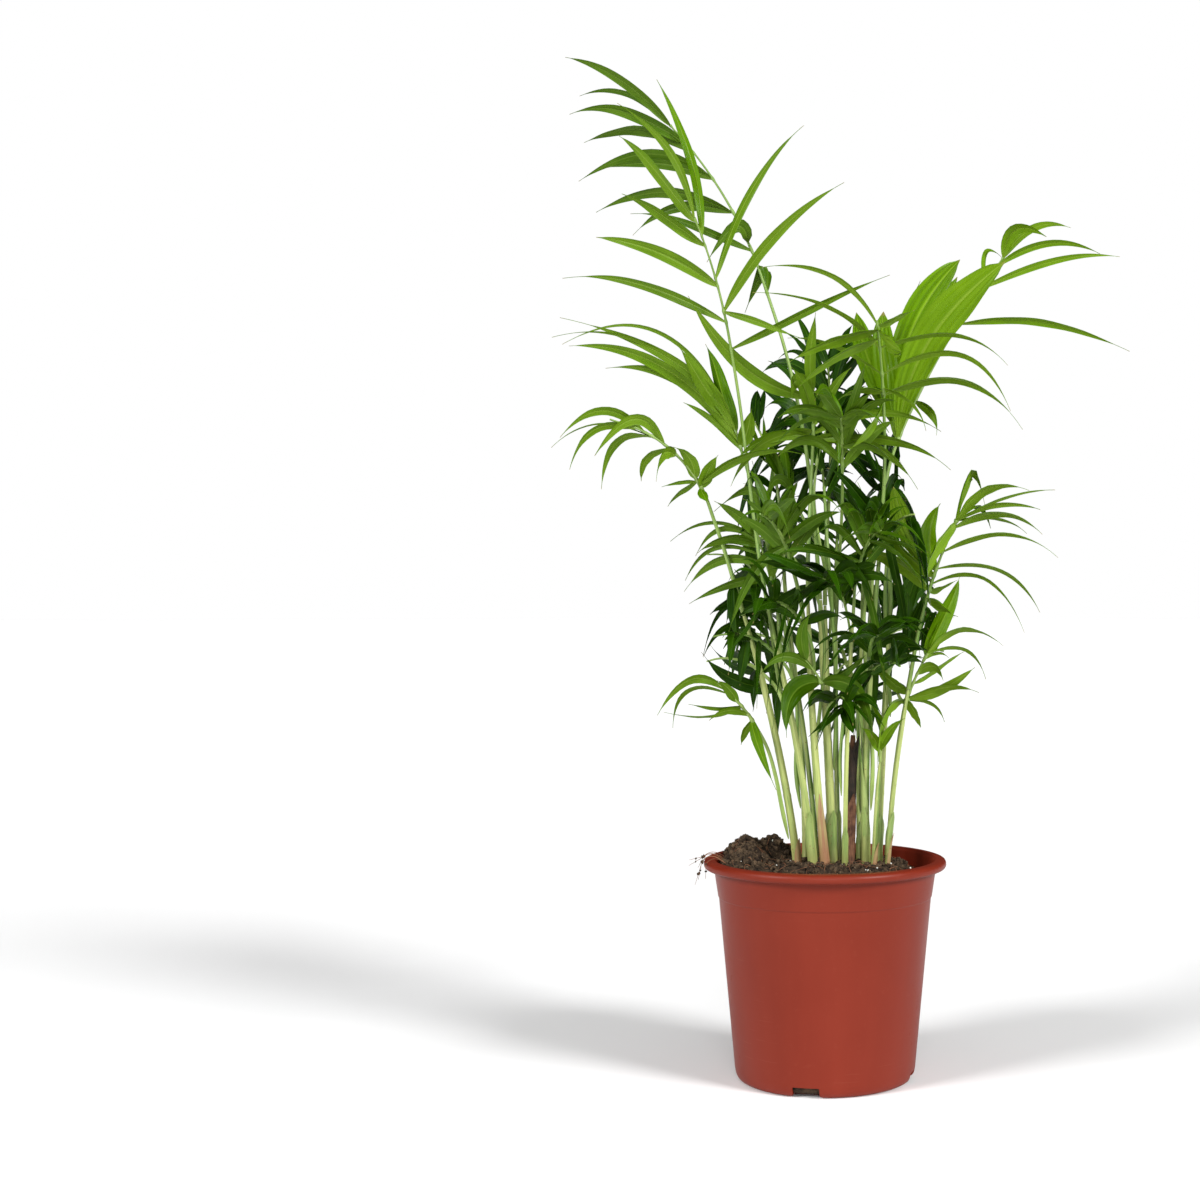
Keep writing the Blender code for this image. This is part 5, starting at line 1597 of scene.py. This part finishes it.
def dress_canes(canes):
    """The canes, the dry husk among them, and the sheaths and scales that clasp them."""
    cane_bag, husk_bag, scale_bag = Bag(), Bag(), Bag()
    for name, cane in canes.items():
        dice = random.Random(f"{SEED} cane {name}")
        fine_cane(husk_bag if name == HUSK_CANE else cane_bag, name, cane, dice)
    dice = random.Random(f"{SEED} scales")
    for name, start, end, facing, kind in SCALES:
        scale_leaf(scale_bag, canes[name], start, end, facing, dice, SCALE_KINDS.index(kind))
    pale = cane_look("pale cane", (0.47, 0.53, 0.17), (0.11, 0.21, 0.03), (0.36, 0.26, 0.10),
                     (0.20, 0.05, 0.03))
    husk = husk_look("dry husk", (0.045, 0.016, 0.010), (0.26, 0.12, 0.06))
    black = husk_look("black husk", (0.010, 0.008, 0.006), (0.060, 0.035, 0.022))
    green = cane_look("green sheath", (0.36, 0.45, 0.14), (0.12, 0.22, 0.04), (0.34, 0.20, 0.08),
                      (0.22, 0.06, 0.03))
    papery = cane_look("papery sheath", (0.42, 0.36, 0.15), (0.28, 0.10, 0.055), (0.26, 0.08, 0.045),
                       (0.20, 0.03, 0.015))
    cane_bag.piece("canes", [pale], "cane", [n for n in canes if n != HUSK_CANE])
    husk_bag.piece("husks", [husk], "husk", [HUSK_CANE])
    scale_bag.piece("sheath_scales", [green, papery, husk, black], "cane", [])


def dress_fronds(fronds, nodes):
    """The stalks, and the leaflets in one piece for each tone."""
    stalks = Bag()
    bags = {kind: Bag() for kind in UPPER_TONES}
    fine_fronds(fronds, bags, stalks)
    green = cane_look("frond stalk", (0.30, 0.42, 0.10), (0.12, 0.24, 0.03), (0.30, 0.36, 0.10),
                      (0.14, 0.10, 0.03))
    stalks.piece("frond_stalks", [green], "leaf", nodes)
    for kind, bag in bags.items():
        # The deep leaflets' looks carry painted shade in their base colours
        names = [n for n in nodes if class_of(n) == kind]
        looks = [leaf_look(kind + " leaflet", *UPPER_TONES[kind], UPPER_ROUGHNESS),
                 leaf_look(kind + " underside", *UNDER_TONES[kind], UNDER_ROUGHNESS)]
        bag.piece("leaflets_" + kind, looks, "young_leaf" if kind in ("young", "fresh") else "leaf", names)


def main():
    viewpoint()
    lights()
    surroundings()
    bpy.context.scene.view_settings.view_transform = "Standard"
    fine_pot()
    fine_soil()
    litter()
    canes, fronds, placed = plan()
    nodes = list(fronds)
    thicken(placed, canes, fronds)
    dress_canes(canes)
    dress_fronds(fronds, nodes)


main()
